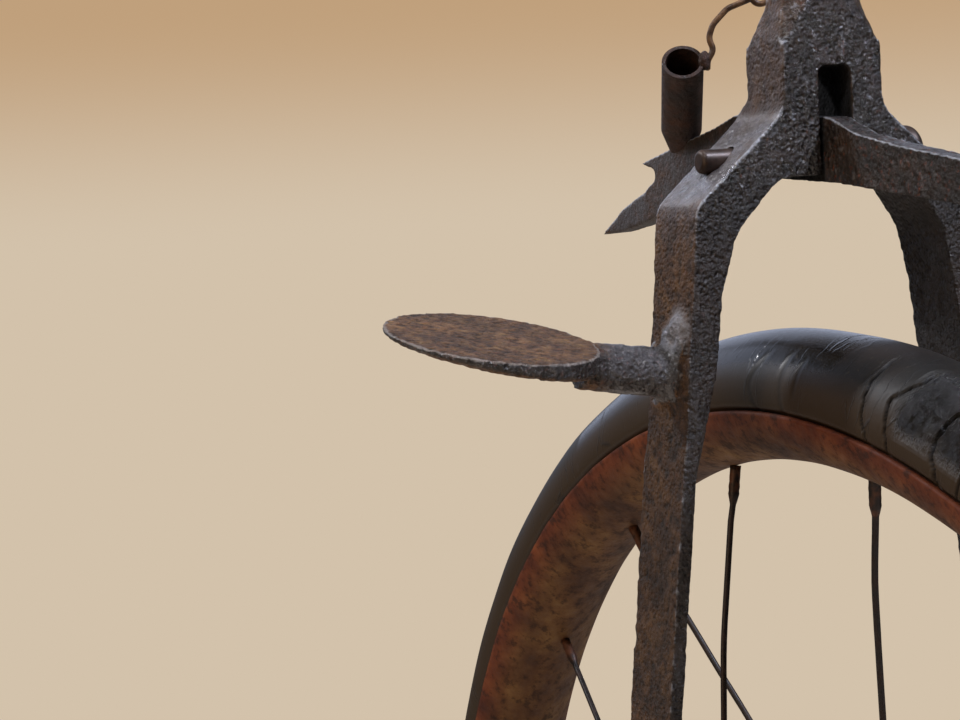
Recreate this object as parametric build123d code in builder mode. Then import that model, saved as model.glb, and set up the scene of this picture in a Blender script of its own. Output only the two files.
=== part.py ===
from build123d import *
import os
from math import asin, cos, degrees, radians, sin, sqrt

# Rear fork, wheel and brake lever of a high-wheel velocipede
# Millimetres. +Z runs up the fork's centre line, +X is forward and +Y is the
# rider's left. The origin is on the seat where the backbone tube stops, at
# the root of the spigot that the tube slides over.

# Driving dimensions: wheel
wheel_radius = 203.0  # axle to the crown of the tyre, a 16 in wheel
tyre_section_radius = 13.6  # round section of the solid tyre
tyre_seat_gap = 0.15  # between the tyre and the rim's channel
rim_wall = 1.4  # rolled crescent rim
rim_channel_radius = 12.4
rim_lip_drop = 16.0  # from the tyre's crown down to the rim's lip
hub_half_length = 48.0
hub_barrel_radius = 15.0
hub_nose_radius = 10.5
hub_flange_radius = 31.5
hub_flange_thickness = 4.0
hub_flange_y = 21.5  # middle of each flange, from the wheel's mid-plane
hub_neck_length = 6.0  # cone from the flange down to the nose
hub_cone_step = 1.0  # the cone starts this much outside the barrel
spoke_count = 20
spoke_radius = 0.7
spoke_bend_radius = 1.0  # where it turns through the flange
spoke_circle_radius = 28.0  # holes in the flanges
spoke_phase_deg = 5.75  # first spoke's place on the rim
spoke_lead_deg = 72.0  # from a spoke's rim end to its hole in the flange
spoke_hole_gap = 0.08
spoke_outside_stand_off = 2.0  # outer spokes clear the flange's edge
spoke_inside_stand_off = 0.3
spoke_head_radius = 1.5
spoke_head_height = 0.8
nipple_length = 6.5  # round nut at the rim
nipple_neck_length = 2.0  # its cone down to the wire
nipple_radius = 1.3
nipple_rim_gap = 0.4  # its square end clears the round inside of the rim

# Driving dimensions: axle
axle_radius = 6.0
axle_running_gap = 0.06
axle_end_length = 5.4  # bare thread outside each nut
collar_radius = 10.0  # thrust collar between hub and fork eye
collar_gap = 0.35  # end play of the hub
collar_length = 1.65
washer_radius = 11.0
washer_thickness = 1.6
nut_across_flats = 19.0
nut_height = 9.0
nut_chamfer = 1.0

# Driving dimensions: fork
fork_depth = 17.5  # front to back, crown and upper blades
arch_above_tyre = 30.3  # free height over the tyre
arch_table = [
    # side, half width of the arch's level top, then its haunch: distance out and drop
    (1, 12.6, 22.6, 10.1),
    (-1, 16.5, 24.0, 11.3),
]
arch_top_radius = 8.0
arch_haunch_radius = 12.0
blade_outer_top_y = 33.1  # outside faces where the blades are welded on
blade_weld_drop = 21.4  # from the arch's underside down to the weld
blade_thickness = 7.1  # above the step
blade_edge_thickness = 3.1  # edges of the tapered blade below the step
blade_middle_thickness = 5.4
blade_taper_start = 15.0  # below the weld
blade_taper_end = 36.0
blade_foot_depth = 16.4  # front to back at the foot
eye_radius = 13.5
eye_thickness = 7.0
eye_fit_gap = 0.05
shoulder_outer_y = 31.6
shoulder_low_above_arch = -4.7  # outer corner of the shoulder
shoulder_high_above_arch = 13.2  # inner corner, at the foot of the block
shoulder_corner_radius = 7.0
block_half_width = 11.3
block_front_draw_in = 2.4  # the block's front is set back from the shoulders'
block_front_draw_start = 3.0  # above the block's foot
block_height = 13.2
block_taper_height = 7.6
block_chamfer = 1.6
neck_half_width = 9.1
neck_front_x = 5.0  # the neck's front is set back further than the block's
neck_chamfer = 4.0
neck_length = 14.0
seat_collar_radius = 11.2
seat_collar_height = 4.5
spigot_radius = 6.9
spigot_length = 30.0
spigot_chamfer = 1.0
slot_left_y = 3.1  # worn wider on the right
slot_right_y = -3.9
slot_top_above_arch = 21.3
slot_corner_radius = 1.4

# Driving dimensions: step
step_reach = 71.5  # middle of the plate, from the wheel's mid-plane
step_below_arch = 26.8
step_plate_half_length = 22.5  # front to back
step_plate_half_width = 20.4
step_plate_thickness = 5.2  # at the shank
step_plate_tip_thickness = 1.5  # at the outer end
step_plate_edge = 0.8
step_outward_tilt_deg = 5.8
step_level_tilt_deg = 10.2  # the plate is level when the fork leans forward
step_shank_radius = 4.7  # at the plate
step_shank_root_radius = 5.2
step_shank_rise = 0.15  # rise of the shank for each millimetre outwards
step_shank_under_plate = 3.0
step_root_drop = 36.5  # shank's root, below the arch's underside
step_root_flare_radius = 6.4
step_root_flare_length = 3.0
step_root_flare_taper = 25
step_shank_start = 1.5  # inside the flare
step_tenon_length = 7.0  # through the blade to the rivet head
step_tenon_radius = 3.3
step_tenon_gap = 0.05
step_rivet_radius = 5.2
step_rivet_height = 1.8

# Driving dimensions: brake
pivot_above_arch = 3.9
pin_radius = 2.4
pin_tail_y = 26.0  # left end, which stands out of the shoulder
pin_tail_fillet = 1.0
pin_running_gap = 0.06
pin_head_radius = 5.4
pin_head_height = 4.2
pin_head_fillet = 1.8
pin_head_seat_y = -19.0  # floor of the spot face on the right shoulder
spot_face_radius = 5.7
lever_thickness = 5.4
lever_tail_tip_thickness = 2.4
tail_cut_overrun = 1.0
shoe_angle_deg = 118.0  # on the tyre, round from straight forward
shoe_lift_deg = 7.0  # how far the shoe stands off at rest
shoe_arc_deg = 16.0
shoe_thickness = 3.0
shoe_tyre_gap = 0.8  # left when the brake is hard on
shoe_edge_drop = 4.0  # tyre centre circle to the shoe's edges
shoe_pad_length = 24.0
shoe_pad_thickness = 5.0
shoe_pad_gap = 0.1
shoe_rivet_radius = 1.6
shoe_rivet_gap = 0.05
shoe_rivet_head_radius = 2.9
shoe_rivet_head_height = 1.5
cord_tube_radius = 4.45
cord_tube_bore = 3.65
cord_tube_length = 29.4
cord_tube_root = 1.5  # tube's foot inside the lever, before it is notched
cord_tube_floor = 11.0  # bottom of the bore, from the foot
cord_tube_foot_radius = 2.2
cord_tube_foot_length = 7.0
cord_tube_lean = (-0.724, 0.340, 0.602)  # out of its mouth
cord_tube_foot = (55.7, 3.8)  # forward of and above the pivot
wire_radius = 0.65
wire_eye_radius = 1.9
wire_lap = 2.5  # brazed along the tube, behind its mouth
wire_lap_bend = 1.0
wire_bends = [
    # forward of the pivot, left of the middle, above the pivot, bend radius
    (32.0, 3.8, 23.7, 2),
    (32.6, 4.6, 26.2, 3),
    (32.3, 3.6, 29.0, 4),
    (31.2, 0.6, 32.2, 4),
]
wire_top = (29.4, -4.4, 34.1)  # where the eye is formed

# Places that follow from the sizes
arch_z_up = wheel_radius + arch_above_tyre
block_foot_up = arch_z_up + shoulder_high_above_arch
block_top_up = block_foot_up + block_height
neck_foot_up = block_top_up + block_taper_height
seat_up = neck_foot_up + neck_length + seat_collar_height
axle_z = -seat_up
arch_z = axle_z + arch_z_up
weld_z = arch_z - blade_weld_drop
pivot_z = arch_z + pivot_above_arch
tyre_circle_radius = wheel_radius - tyre_section_radius
rim_outer_section = rim_channel_radius + rim_wall
rim_inner_radius = tyre_circle_radius - rim_outer_section
rim_lip_radius = wheel_radius - rim_lip_drop
axle_line = Axis((0, 0, axle_z), (0, 1, 0))
hub_plane = Plane.XY.offset(axle_z)
blade_foot_up = eye_radius * 0.6
eye_inner_y = hub_half_length + collar_gap + collar_length
eye_outer_y = eye_inner_y + eye_thickness
axle_half_length = eye_outer_y + washer_thickness + nut_height + axle_end_length
blade_foot_outer_y = eye_outer_y - (eye_thickness - blade_middle_thickness) / 2

os.makedirs("parts", exist_ok=True)


def save(piece, name):
    piece.part.label = name
    export_step(piece.part, f"parts/{name}.step")


# Wheel: solid rubber tyre, round outside and narrower where the rim holds it
with BuildPart() as tyre:
    with BuildSketch(hub_plane) as tyre_section:
        with Locations((tyre_circle_radius, 0)):
            Circle(tyre_section_radius)
        with Locations((rim_lip_radius + tyre_seat_gap, 0)):
            Rectangle(
                2 * tyre_section_radius,
                2 * tyre_section_radius,
                align=(Align.MAX, Align.CENTER),
                mode=Mode.SUBTRACT,
            )
        with Locations((tyre_circle_radius, 0)):
            Circle(rim_channel_radius - tyre_seat_gap)
    revolve(axis=axle_line)
save(tyre, "tyre")

# Wheel: rolled crescent rim
with BuildPart() as rim:
    with BuildSketch(hub_plane) as rim_section:
        with Locations((tyre_circle_radius, 0)):
            Circle(rim_outer_section)
            Circle(rim_channel_radius, mode=Mode.SUBTRACT)
        with Locations((rim_lip_radius, 0)):
            Rectangle(
                2 * rim_outer_section,
                2 * rim_outer_section,
                align=(Align.MIN, Align.CENTER),
                mode=Mode.SUBTRACT,
            )
    revolve(axis=axle_line)
save(rim, "rim")

# Wheel: hub with two spoke flanges, bored for the axle
hub_flange_inner = hub_flange_y - hub_flange_thickness / 2
hub_flange_outer = hub_flange_y + hub_flange_thickness / 2
hub_bore = axle_radius + axle_running_gap
with BuildPart() as hub:
    with BuildSketch(hub_plane) as hub_section:
        with BuildLine():
            Polyline(
                (hub_bore, 0),
                (hub_barrel_radius, 0),
                (hub_barrel_radius, hub_flange_inner),
                (hub_flange_radius, hub_flange_inner),
                (hub_flange_radius, hub_flange_outer),
                (hub_barrel_radius + hub_cone_step, hub_flange_outer),
                (hub_nose_radius, hub_flange_outer + hub_neck_length),
                (hub_nose_radius, hub_half_length),
                (hub_bore, hub_half_length),
                close=True,
            )
        make_face()
        mirror(about=Plane.XZ)
    revolve(axis=axle_line)
    for side in (1, -1):
        first_hole_deg = spoke_phase_deg - spoke_lead_deg + (0 if side > 0 else 360 / spoke_count)
        with BuildSketch(Plane(origin=(0, side * hub_flange_y, axle_z), x_dir=(1, 0, 0), z_dir=(0, -1, 0))):
            with PolarLocations(spoke_circle_radius, spoke_count // 2, start_angle=first_hole_deg):
                Circle(spoke_radius + spoke_hole_gap)
        extrude(amount=hub_flange_thickness, both=True, mode=Mode.SUBTRACT)
save(hub, "hub")

# Wheel: spokes laced in turn to the left and right flanges. The first pair of
# each four leans one way, outside the flange, and the second pair the other
# way, inside it. Each ends at the hub in a short pin with a head.
spoke_table = [
    # flange side, lean, side of the flange that the spoke lies on
    (1, -1, 1),
    (-1, -1, 1),
    (1, 1, -1),
    (-1, 1, -1),
]
for number in range(spoke_count):
    flange_side, lean, face = spoke_table[number % len(spoke_table)]
    rim_angle = radians(spoke_phase_deg + 360 / spoke_count * number)
    hole_angle = rim_angle + lean * radians(spoke_lead_deg)
    stand_off = spoke_outside_stand_off if face > 0 else spoke_inside_stand_off
    reach = hub_flange_thickness / 2 + spoke_radius + stand_off
    face_y = flange_side * (hub_flange_y + face * reach)
    head_y = flange_side * (hub_flange_y - face * hub_flange_thickness / 2)
    outward = flange_side * face
    end_radius = rim_inner_radius - nipple_rim_gap
    rim_end = Vector(cos(rim_angle) * end_radius, 0, axle_z + sin(rim_angle) * end_radius)
    hub_end = Vector(
        cos(hole_angle) * spoke_circle_radius, face_y, axle_z + sin(hole_angle) * spoke_circle_radius
    )
    head_seat = Vector(hub_end.X, head_y, hub_end.Z)
    along = (rim_end - hub_end).normalized()
    nipple_foot = rim_end - along * nipple_length
    wire_end = nipple_foot - along * nipple_neck_length
    with BuildPart() as spoke:
        with BuildLine() as spoke_path:
            FilletPolyline(head_seat, hub_end, wire_end, radius=spoke_bend_radius)
        with BuildSketch(Plane(origin=head_seat, z_dir=(0, outward, 0))):
            Circle(spoke_radius)
        sweep(path=spoke_path.line)
        with BuildSketch(Plane(origin=wire_end, z_dir=along)):
            Circle(spoke_radius)
        with BuildSketch(Plane(origin=nipple_foot, z_dir=along)):
            Circle(nipple_radius)
        loft()
        with BuildSketch(Plane(origin=nipple_foot, z_dir=along)):
            Circle(nipple_radius)
        extrude(amount=nipple_length)
        with BuildSketch(Plane(origin=head_seat, z_dir=(0, -outward, 0))):
            Circle(spoke_head_radius)
        extrude(amount=spoke_head_height)
    save(spoke, f"spoke_{number + 1:02d}")

# Axle, with a thrust collar inside each fork eye, and a washer and nut outside
with BuildPart() as axle:
    with BuildSketch(Plane.XZ) as axle_section:
        with Locations((0, axle_z)):
            Circle(axle_radius)
    extrude(amount=axle_half_length, both=True)
    chamfer(axle.edges().filter_by(GeomType.CIRCLE), nut_chamfer)
save(axle, "axle")

for side, side_name in ((1, "left"), (-1, "right")):
    outward_dir = (0, side, 0)
    collar_foot = Plane(origin=(0, side * (hub_half_length + collar_gap), axle_z), x_dir=(1, 0, 0), z_dir=outward_dir)
    washer_foot = Plane(origin=(0, side * eye_outer_y, axle_z), x_dir=(1, 0, 0), z_dir=outward_dir)
    nut_foot = washer_foot.offset(washer_thickness)
    with BuildPart() as collar:
        with BuildSketch(collar_foot):
            Circle(collar_radius)
            Circle(axle_radius + eye_fit_gap, mode=Mode.SUBTRACT)
        extrude(amount=collar_length)
    save(collar, f"{side_name}_thrust_collar")
    with BuildPart() as washer:
        with BuildSketch(washer_foot):
            Circle(washer_radius)
            Circle(axle_radius + eye_fit_gap, mode=Mode.SUBTRACT)
        extrude(amount=washer_thickness)
    save(washer, f"{side_name}_axle_washer")
    with BuildPart() as nut:
        with BuildSketch(nut_foot):
            RegularPolygon(nut_across_flats / 2, 6, major_radius=False)
            Circle(axle_radius + eye_fit_gap, mode=Mode.SUBTRACT)
        extrude(amount=nut_height)
        with BuildSketch(nut_foot.offset(nut_height)) as nut_crown:
            Circle(nut_across_flats / 2)
        extrude(amount=-nut_height, taper=-60, mode=Mode.INTERSECT)
    save(nut, f"{side_name}_axle_nut")

# Fork crown: one forging with two shoulders over the arch, a square block
# above them and a slot for the brake lever
ear_hole_radius = pin_radius + pin_running_gap
with BuildPart() as crown:
    with BuildSketch(Plane.YZ) as crown_front:
        for side, top_half_width, haunch_y, haunch_drop in arch_table:
            with BuildLine():
                FilletPolyline(
                    (0, arch_z),
                    (side * top_half_width, arch_z),
                    (side * haunch_y, arch_z - haunch_drop),
                    (side * (blade_outer_top_y - blade_thickness), weld_z),
                    (side * blade_outer_top_y, weld_z),
                    (side * shoulder_outer_y, arch_z + shoulder_low_above_arch),
                    (side * block_half_width, axle_z + block_foot_up),
                    (side * block_half_width, axle_z + block_top_up),
                    (0, axle_z + block_top_up),
                    close=True,
                    radius=[
                        0,
                        arch_top_radius,
                        arch_haunch_radius,
                        0,
                        0,
                        shoulder_corner_radius,
                        shoulder_corner_radius,
                        0,
                        0,
                    ],
                )
            make_face()
    extrude(amount=fork_depth / 2, both=True)
    # Tapering top of the block, eight-sided, and the neck above it
    for height, half_y, back_x, front_x, corner in (
        (block_top_up, block_half_width, -fork_depth / 2, fork_depth / 2 - block_front_draw_in, block_chamfer),
        (neck_foot_up, neck_half_width, -neck_half_width, neck_front_x, neck_chamfer),
    ):
        with BuildSketch(Plane.XY.offset(axle_z + height)):
            with Locations(((back_x + front_x) / 2, 0)):
                Rectangle(front_x - back_x, 2 * half_y)
            chamfer(vertices(), corner)
    loft()
    with BuildSketch(Plane.XZ):
        with BuildLine():
            Polyline(
                (fork_depth / 2, axle_z + block_foot_up),
                (fork_depth / 2 - block_front_draw_in, axle_z + block_foot_up + block_front_draw_start),
                (fork_depth / 2 - block_front_draw_in, axle_z + block_top_up),
                (fork_depth, axle_z + block_top_up),
                (fork_depth, axle_z + block_foot_up),
                close=True,
            )
        make_face()
    extrude(amount=block_half_width + block_chamfer, both=True, mode=Mode.SUBTRACT)
    with BuildSketch(Plane.XY.offset(axle_z + neck_foot_up)):
        with Locations(((neck_front_x - neck_half_width) / 2, 0)):
            Rectangle(neck_half_width + neck_front_x, 2 * neck_half_width)
        chamfer(vertices(), neck_chamfer)
    extrude(amount=neck_length)
    # Round seat and spigot for the backbone tube
    with BuildSketch(Plane.XY.offset(-seat_collar_height)):
        Circle(seat_collar_radius)
    extrude(amount=seat_collar_height)
    with BuildSketch(Plane.XY):
        Circle(spigot_radius)
    extrude(amount=spigot_length)
    chamfer(crown.edges().filter_by(GeomType.CIRCLE).sort_by(Axis.Z)[-1], spigot_chamfer)
    # Slot for the lever, open at the bottom, its top corners eased
    with BuildSketch(Plane.YZ):
        with Locations(((slot_left_y + slot_right_y) / 2, arch_z + slot_top_above_arch)):
            Rectangle(
                slot_left_y - slot_right_y, 2 * slot_top_above_arch, align=(Align.CENTER, Align.MAX)
            )
        fillet(vertices().group_by(Axis.Y)[-1], slot_corner_radius)
    extrude(amount=fork_depth, both=True, mode=Mode.SUBTRACT)
    # Hole for the pivot pin, with a spot face for its head on the right shoulder
    with BuildSketch(Plane.XZ):
        with Locations((0, pivot_z)):
            Circle(ear_hole_radius)
    extrude(amount=shoulder_outer_y, both=True, mode=Mode.SUBTRACT)
    with BuildSketch(Plane(origin=(0, pin_head_seat_y, pivot_z), x_dir=(1, 0, 0), z_dir=(0, -1, 0))):
        Circle(spot_face_radius)
    extrude(amount=shoulder_outer_y, mode=Mode.SUBTRACT)
save(crown, "fork_crown")

# Blades: square-edged above the step, then drawn out to thin edges with a
# full middle, and an eye for the axle at the foot
weld_up = arch_z_up - blade_weld_drop
blade_table = [
    # height above the axle, front-to-back depth, edge thickness, middle thickness
    (weld_up, fork_depth, blade_thickness, blade_thickness),
    (weld_up - blade_taper_start, fork_depth, blade_thickness - 0.4, blade_thickness - 0.2),
    (weld_up - blade_taper_end, fork_depth, blade_edge_thickness, blade_middle_thickness),
    (blade_foot_up, blade_foot_depth, blade_edge_thickness, blade_middle_thickness),
]
blade_splay = (blade_foot_outer_y - blade_outer_top_y) / (weld_up - blade_foot_up)
step_root_up = arch_z_up - step_root_drop
step_root_y = blade_outer_top_y + blade_splay * (weld_up - step_root_up)
step_root_plane = Plane(
    origin=(0, step_root_y, axle_z + step_root_up), x_dir=(1, 0, 0), z_dir=(0, 1, blade_splay)
)
for side, side_name in ((1, "left"), (-1, "right")):
    with BuildPart() as blade:
        for height, depth, edge, middle in blade_table:
            outer_y = blade_outer_top_y + blade_splay * (weld_up - height)
            with BuildSketch(Plane.XY.offset(axle_z + height)):
                with BuildLine():
                    Polyline(
                        (-depth / 2, side * outer_y),
                        (depth / 2, side * outer_y),
                        (depth / 2, side * (outer_y - edge)),
                        (depth / 4, side * (outer_y - middle)),
                        (-depth / 4, side * (outer_y - middle)),
                        (-depth / 2, side * (outer_y - edge)),
                        close=True,
                    )
                make_face()
        loft(ruled=True)
        eye_foot = Plane(origin=(0, side * eye_inner_y, axle_z), x_dir=(1, 0, 0), z_dir=(0, side, 0))
        with BuildSketch(eye_foot):
            Circle(eye_radius)
        extrude(amount=eye_thickness)
        with BuildSketch(eye_foot.offset(-eye_thickness)):
            Circle(axle_radius + eye_fit_gap)
        extrude(amount=3 * eye_thickness, mode=Mode.SUBTRACT)
        if side > 0:
            with BuildSketch(step_root_plane):
                Circle(step_tenon_radius + step_tenon_gap)
            extrude(amount=2 * blade_thickness, both=True, mode=Mode.SUBTRACT)
    save(blade, f"{side_name}_blade")

# Mounting step: oval plate forged with a round shank, whose tenon passes
# through the left blade and is riveted over inside
plate_length_dir = Vector(cos(radians(step_level_tilt_deg)), 0, sin(radians(step_level_tilt_deg)))
plate_width_dir = Vector(0, cos(radians(step_outward_tilt_deg)), sin(radians(step_outward_tilt_deg)))
plate_normal = plate_length_dir.cross(plate_width_dir).normalized()
plate_centre = Vector(0, step_reach, arch_z - step_below_arch)
shank_dir = Vector(0, 1, step_shank_rise).normalized()
shank_root = step_root_plane.origin
shank_reach = step_reach - step_plate_half_width + step_shank_under_plate - step_root_y
with BuildPart() as step:
    with BuildSketch(Plane(origin=plate_centre, x_dir=plate_length_dir, z_dir=plate_normal)):
        Ellipse(step_plate_half_length, step_plate_half_width)
    extrude(amount=-step_plate_thickness)
    # The underside slopes up to a thin outer end
    plate_inner_end = plate_centre - plate_width_dir * step_plate_half_width - plate_normal * step_plate_thickness
    plate_outer_end = plate_centre + plate_width_dir * step_plate_half_width - plate_normal * step_plate_tip_thickness
    underside_normal = plate_length_dir.cross(plate_outer_end - plate_inner_end).normalized()
    split(bisect_by=Plane(origin=plate_inner_end, z_dir=underside_normal), keep=Keep.TOP)
    chamfer(step.faces().sort_by(Axis.Z)[0].edges(), step_plate_edge)
    with BuildSketch(Plane(origin=shank_root + shank_dir * step_shank_start, z_dir=shank_dir)):
        Circle(step_shank_root_radius)
    with BuildSketch(Plane(origin=shank_root + shank_dir * shank_reach, z_dir=shank_dir)):
        Circle(step_shank_radius)
    loft()
    with BuildSketch(step_root_plane):
        Circle(step_root_flare_radius)
    extrude(amount=step_root_flare_length, taper=step_root_flare_taper)
    with BuildSketch(step_root_plane):
        Circle(step_tenon_radius)
    extrude(amount=-step_tenon_length)
    with BuildSketch(step_root_plane.offset(-step_tenon_length)):
        Circle(step_rivet_radius)
    extrude(amount=-step_rivet_height, taper=35)
save(step, "step")

# Pivot pin of the brake lever, its head on the right and its tail bare
with BuildPart() as pivot_pin:
    with BuildSketch(Plane(origin=(0, pin_head_seat_y, pivot_z), x_dir=(1, 0, 0), z_dir=(0, 1, 0))):
        Circle(pin_radius)
    extrude(amount=pin_tail_y - pin_head_seat_y)
    fillet(pivot_pin.edges().filter_by(GeomType.CIRCLE).sort_by(Axis.Y)[-1], pin_tail_fillet)
    with BuildSketch(Plane(origin=(0, pin_head_seat_y, pivot_z), x_dir=(1, 0, 0), z_dir=(0, -1, 0))):
        Circle(pin_head_radius)
    extrude(amount=pin_head_height)
    fillet(pivot_pin.edges().filter_by(GeomType.CIRCLE).sort_by(Axis.Y)[0], pin_head_fillet)
save(pivot_pin, "brake_pivot_pin")


# Brake: places on the shoe, with the brake off
def at_rest(x, z):
    """A point of the hard-on brake, turned about the pivot to where it rests."""
    lift = radians(shoe_lift_deg)
    return x * cos(lift) + z * sin(lift), -x * sin(lift) + z * cos(lift)


wheel_centre_x, wheel_centre_z = at_rest(0, axle_z - pivot_z)
shoe_middle = radians(shoe_angle_deg - shoe_lift_deg)
shoe_inner_section = tyre_section_radius + shoe_tyre_gap
shoe_outer_section = shoe_inner_section + shoe_thickness
shoe_back_radius = tyre_circle_radius + shoe_outer_section
shoe_up = Vector(cos(shoe_middle), 0, sin(shoe_middle))
shoe_rearward = Vector(-sin(shoe_middle), 0, cos(shoe_middle))
shoe_centre = Vector(wheel_centre_x, 0, pivot_z + wheel_centre_z)
pad_middle = shoe_centre + shoe_up * (shoe_back_radius + shoe_pad_gap)


def pad_point(rearward, up):
    """A corner of the lever's pad, measured from the pivot."""
    place = pad_middle + shoe_rearward * rearward + shoe_up * up
    return place.X, place.Z - pivot_z


# Brake lever: a flat bar on edge through the slot, cranked down behind to the
# shoe, and drawn out in front to a spur and a leaf-shaped tail
pad_half = shoe_pad_length / 2
lever_outline = [
    # forward of the pivot, above the pivot, corner radius
    (95.8, -15.4, 0),
    (83.6, -14.8, 14),
    (68.9, -12.6, 14),
    (57.0, -9.0, 12),
    (45.0, -3.6, 12),
    (31.0, -2.9, 20),
    (-11.5, -5.6, 30),
    (-64.0, -11.8, 8),
    (-81.0, -33.6, 7),
    (*pad_point(-pad_half, 0), 0),
    (*pad_point(pad_half, 0), 0),
    (*pad_point(pad_half, shoe_pad_thickness * 0.6), 0),
    (*pad_point(-pad_half * 0.7, shoe_pad_thickness), 7),
    (-70.0, -4.6, 9),
    (-34.0, 1.2, 20),
    (-19.5, 4.0, 10),
    (-10.0, 7.6, 8),
    (26.0, 9.9, 14),
    (36.0, 7.4, 12),
    (54.3, 4.1, 14),
    (71.6, 0.8, 0),
    (60.8, -1.4, 1.5),
    (70.0, -5.6, 10),
    (82.0, -9.0, 30),
]
with BuildPart() as lever:
    with BuildSketch(Plane.XZ):
        with BuildLine():
            FilletPolyline(
                *[(x, pivot_z + z) for x, z, corner in lever_outline],
                close=True,
                radius=[corner for x, z, corner in lever_outline],
            )
        make_face()
    extrude(amount=lever_thickness / 2, both=True)
    # The tail thins towards its tip
    with BuildSketch(Plane.XY.offset(pivot_z)) as tail_taper:
        for side in (1, -1):
            with BuildLine():
                Polyline(
                    (lever_outline[2][0], side * lever_thickness / 2),
                    (lever_outline[0][0] + tail_cut_overrun, side * lever_tail_tip_thickness / 2),
                    (lever_outline[0][0] + tail_cut_overrun, side * lever_thickness),
                    (lever_outline[2][0], side * lever_thickness),
                    close=True,
                )
            make_face()
    extrude(amount=2 * cord_tube_length, both=True, mode=Mode.SUBTRACT)
    with BuildSketch(Plane.XZ):
        with Locations((0, pivot_z)):
            Circle(pin_radius + pin_running_gap)
    extrude(amount=lever_thickness, both=True, mode=Mode.SUBTRACT)
    with BuildSketch(Plane(origin=pad_middle, x_dir=shoe_rearward, z_dir=shoe_up)):
        Circle(shoe_rivet_radius + shoe_rivet_gap)
    extrude(amount=2 * shoe_pad_thickness, both=True, mode=Mode.SUBTRACT)
save(lever, "brake_lever")

# Brake shoe: a spoon curved to the tyre along and across
shoe_start = shoe_middle + radians(shoe_arc_deg / 2)
with BuildPart() as shoe:
    shoe_plane = Plane(
        origin=shoe_centre,
        x_dir=(cos(shoe_start), 0, sin(shoe_start)),
        z_dir=Vector(cos(shoe_start), 0, sin(shoe_start)).cross(Vector(0, 1, 0)),
    )
    with BuildSketch(shoe_plane):
        with Locations((tyre_circle_radius, 0)):
            Circle(shoe_outer_section)
            Circle(shoe_inner_section, mode=Mode.SUBTRACT)
        with Locations((tyre_circle_radius + shoe_edge_drop, 0)):
            Rectangle(
                3 * shoe_outer_section,
                3 * shoe_outer_section,
                align=(Align.MAX, Align.CENTER),
                mode=Mode.SUBTRACT,
            )
    revolve(axis=Axis(shoe_centre, (0, 1, 0)), revolution_arc=shoe_arc_deg)
    with BuildSketch(Plane(origin=pad_middle, x_dir=shoe_rearward, z_dir=shoe_up)):
        Circle(shoe_rivet_radius + shoe_rivet_gap)
    extrude(amount=2 * shoe_thickness, both=True, mode=Mode.SUBTRACT)
save(shoe, "brake_shoe")

# Rivet through the pad and the shoe, flush inside and domed on top
shoe_rivet_foot = pad_middle - shoe_up * (shoe_pad_gap + shoe_thickness - tyre_seat_gap)
shoe_rivet_top = pad_middle + shoe_up * (shoe_pad_thickness + shoe_pad_gap)
with BuildPart() as shoe_rivet:
    with BuildSketch(Plane(origin=shoe_rivet_foot, x_dir=shoe_rearward, z_dir=shoe_up)):
        Circle(shoe_rivet_radius)
    extrude(amount=(shoe_rivet_top - shoe_rivet_foot).length)
    with BuildSketch(Plane(origin=shoe_rivet_top, x_dir=shoe_rearward, z_dir=shoe_up)):
        Circle(shoe_rivet_head_radius)
    extrude(amount=shoe_rivet_head_height, taper=30)
save(shoe_rivet, "brake_shoe_rivet")

# Socket tube for the brake cord, brazed to the lever and leaning back
tube_dir = Vector(*cord_tube_lean).normalized()
tube_foot = Vector(cord_tube_foot[0], 0, pivot_z + cord_tube_foot[1])
tube_mouth = tube_foot + tube_dir * cord_tube_length
with BuildPart() as cord_tube:
    with BuildSketch(Plane(origin=tube_foot - tube_dir * cord_tube_root, z_dir=tube_dir)):
        Circle(cord_tube_foot_radius)
    with BuildSketch(Plane(origin=tube_foot + tube_dir * cord_tube_foot_length, z_dir=tube_dir)):
        Circle(cord_tube_radius)
    loft()
    with BuildSketch(Plane(origin=tube_foot + tube_dir * cord_tube_foot_length, z_dir=tube_dir)):
        Circle(cord_tube_radius)
    extrude(amount=cord_tube_length - cord_tube_foot_length)
    with BuildSketch(Plane(origin=tube_mouth, z_dir=tube_dir)):
        Circle(cord_tube_bore)
    extrude(amount=-(cord_tube_length - cord_tube_floor), mode=Mode.SUBTRACT)
    add(lever.part, mode=Mode.SUBTRACT)
save(cord_tube, "cord_tube")

# Pull wire: bent from the tube's mouth up beside the neck to a small eye
wire_side = tube_dir.cross(Vector(0, 0, 1)).normalized()
wire_seat = tube_mouth - wire_side * (cord_tube_radius + wire_radius + tyre_seat_gap)
if wire_seat.Y > tube_mouth.Y:
    wire_seat = tube_mouth + wire_side * (cord_tube_radius + wire_radius + tyre_seat_gap)
wire_foot = wire_seat - tube_dir * wire_lap
wire_route = [
    tuple(wire_foot),
    tuple(wire_seat),
    *[(x, y, pivot_z + z) for x, y, z, bend in wire_bends],
    (wire_top[0], wire_top[1], pivot_z + wire_top[2]),
]
with BuildPart() as wire:
    with BuildLine() as wire_path:
        FilletPolyline(*wire_route, radius=[wire_lap_bend, *[bend for x, y, z, bend in wire_bends]])
    with BuildSketch(Plane(origin=wire_route[0], z_dir=wire_path.line % 0)):
        Circle(wire_radius)
    sweep(path=wire_path.line)
    wire_end_dir = wire_path.line % 1
    eye_centre = Vector(*wire_route[-1]) + wire_end_dir * wire_eye_radius
    with Locations(Plane(origin=eye_centre, x_dir=wire_end_dir, z_dir=wire_end_dir.cross(Vector(0, 0, 1)))):
        Torus(wire_eye_radius, wire_radius)
save(wire, "pull_wire")
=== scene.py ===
import math

import bmesh
import bpy
import numpy as np
from mathutils import Matrix, Vector, noise


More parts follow.
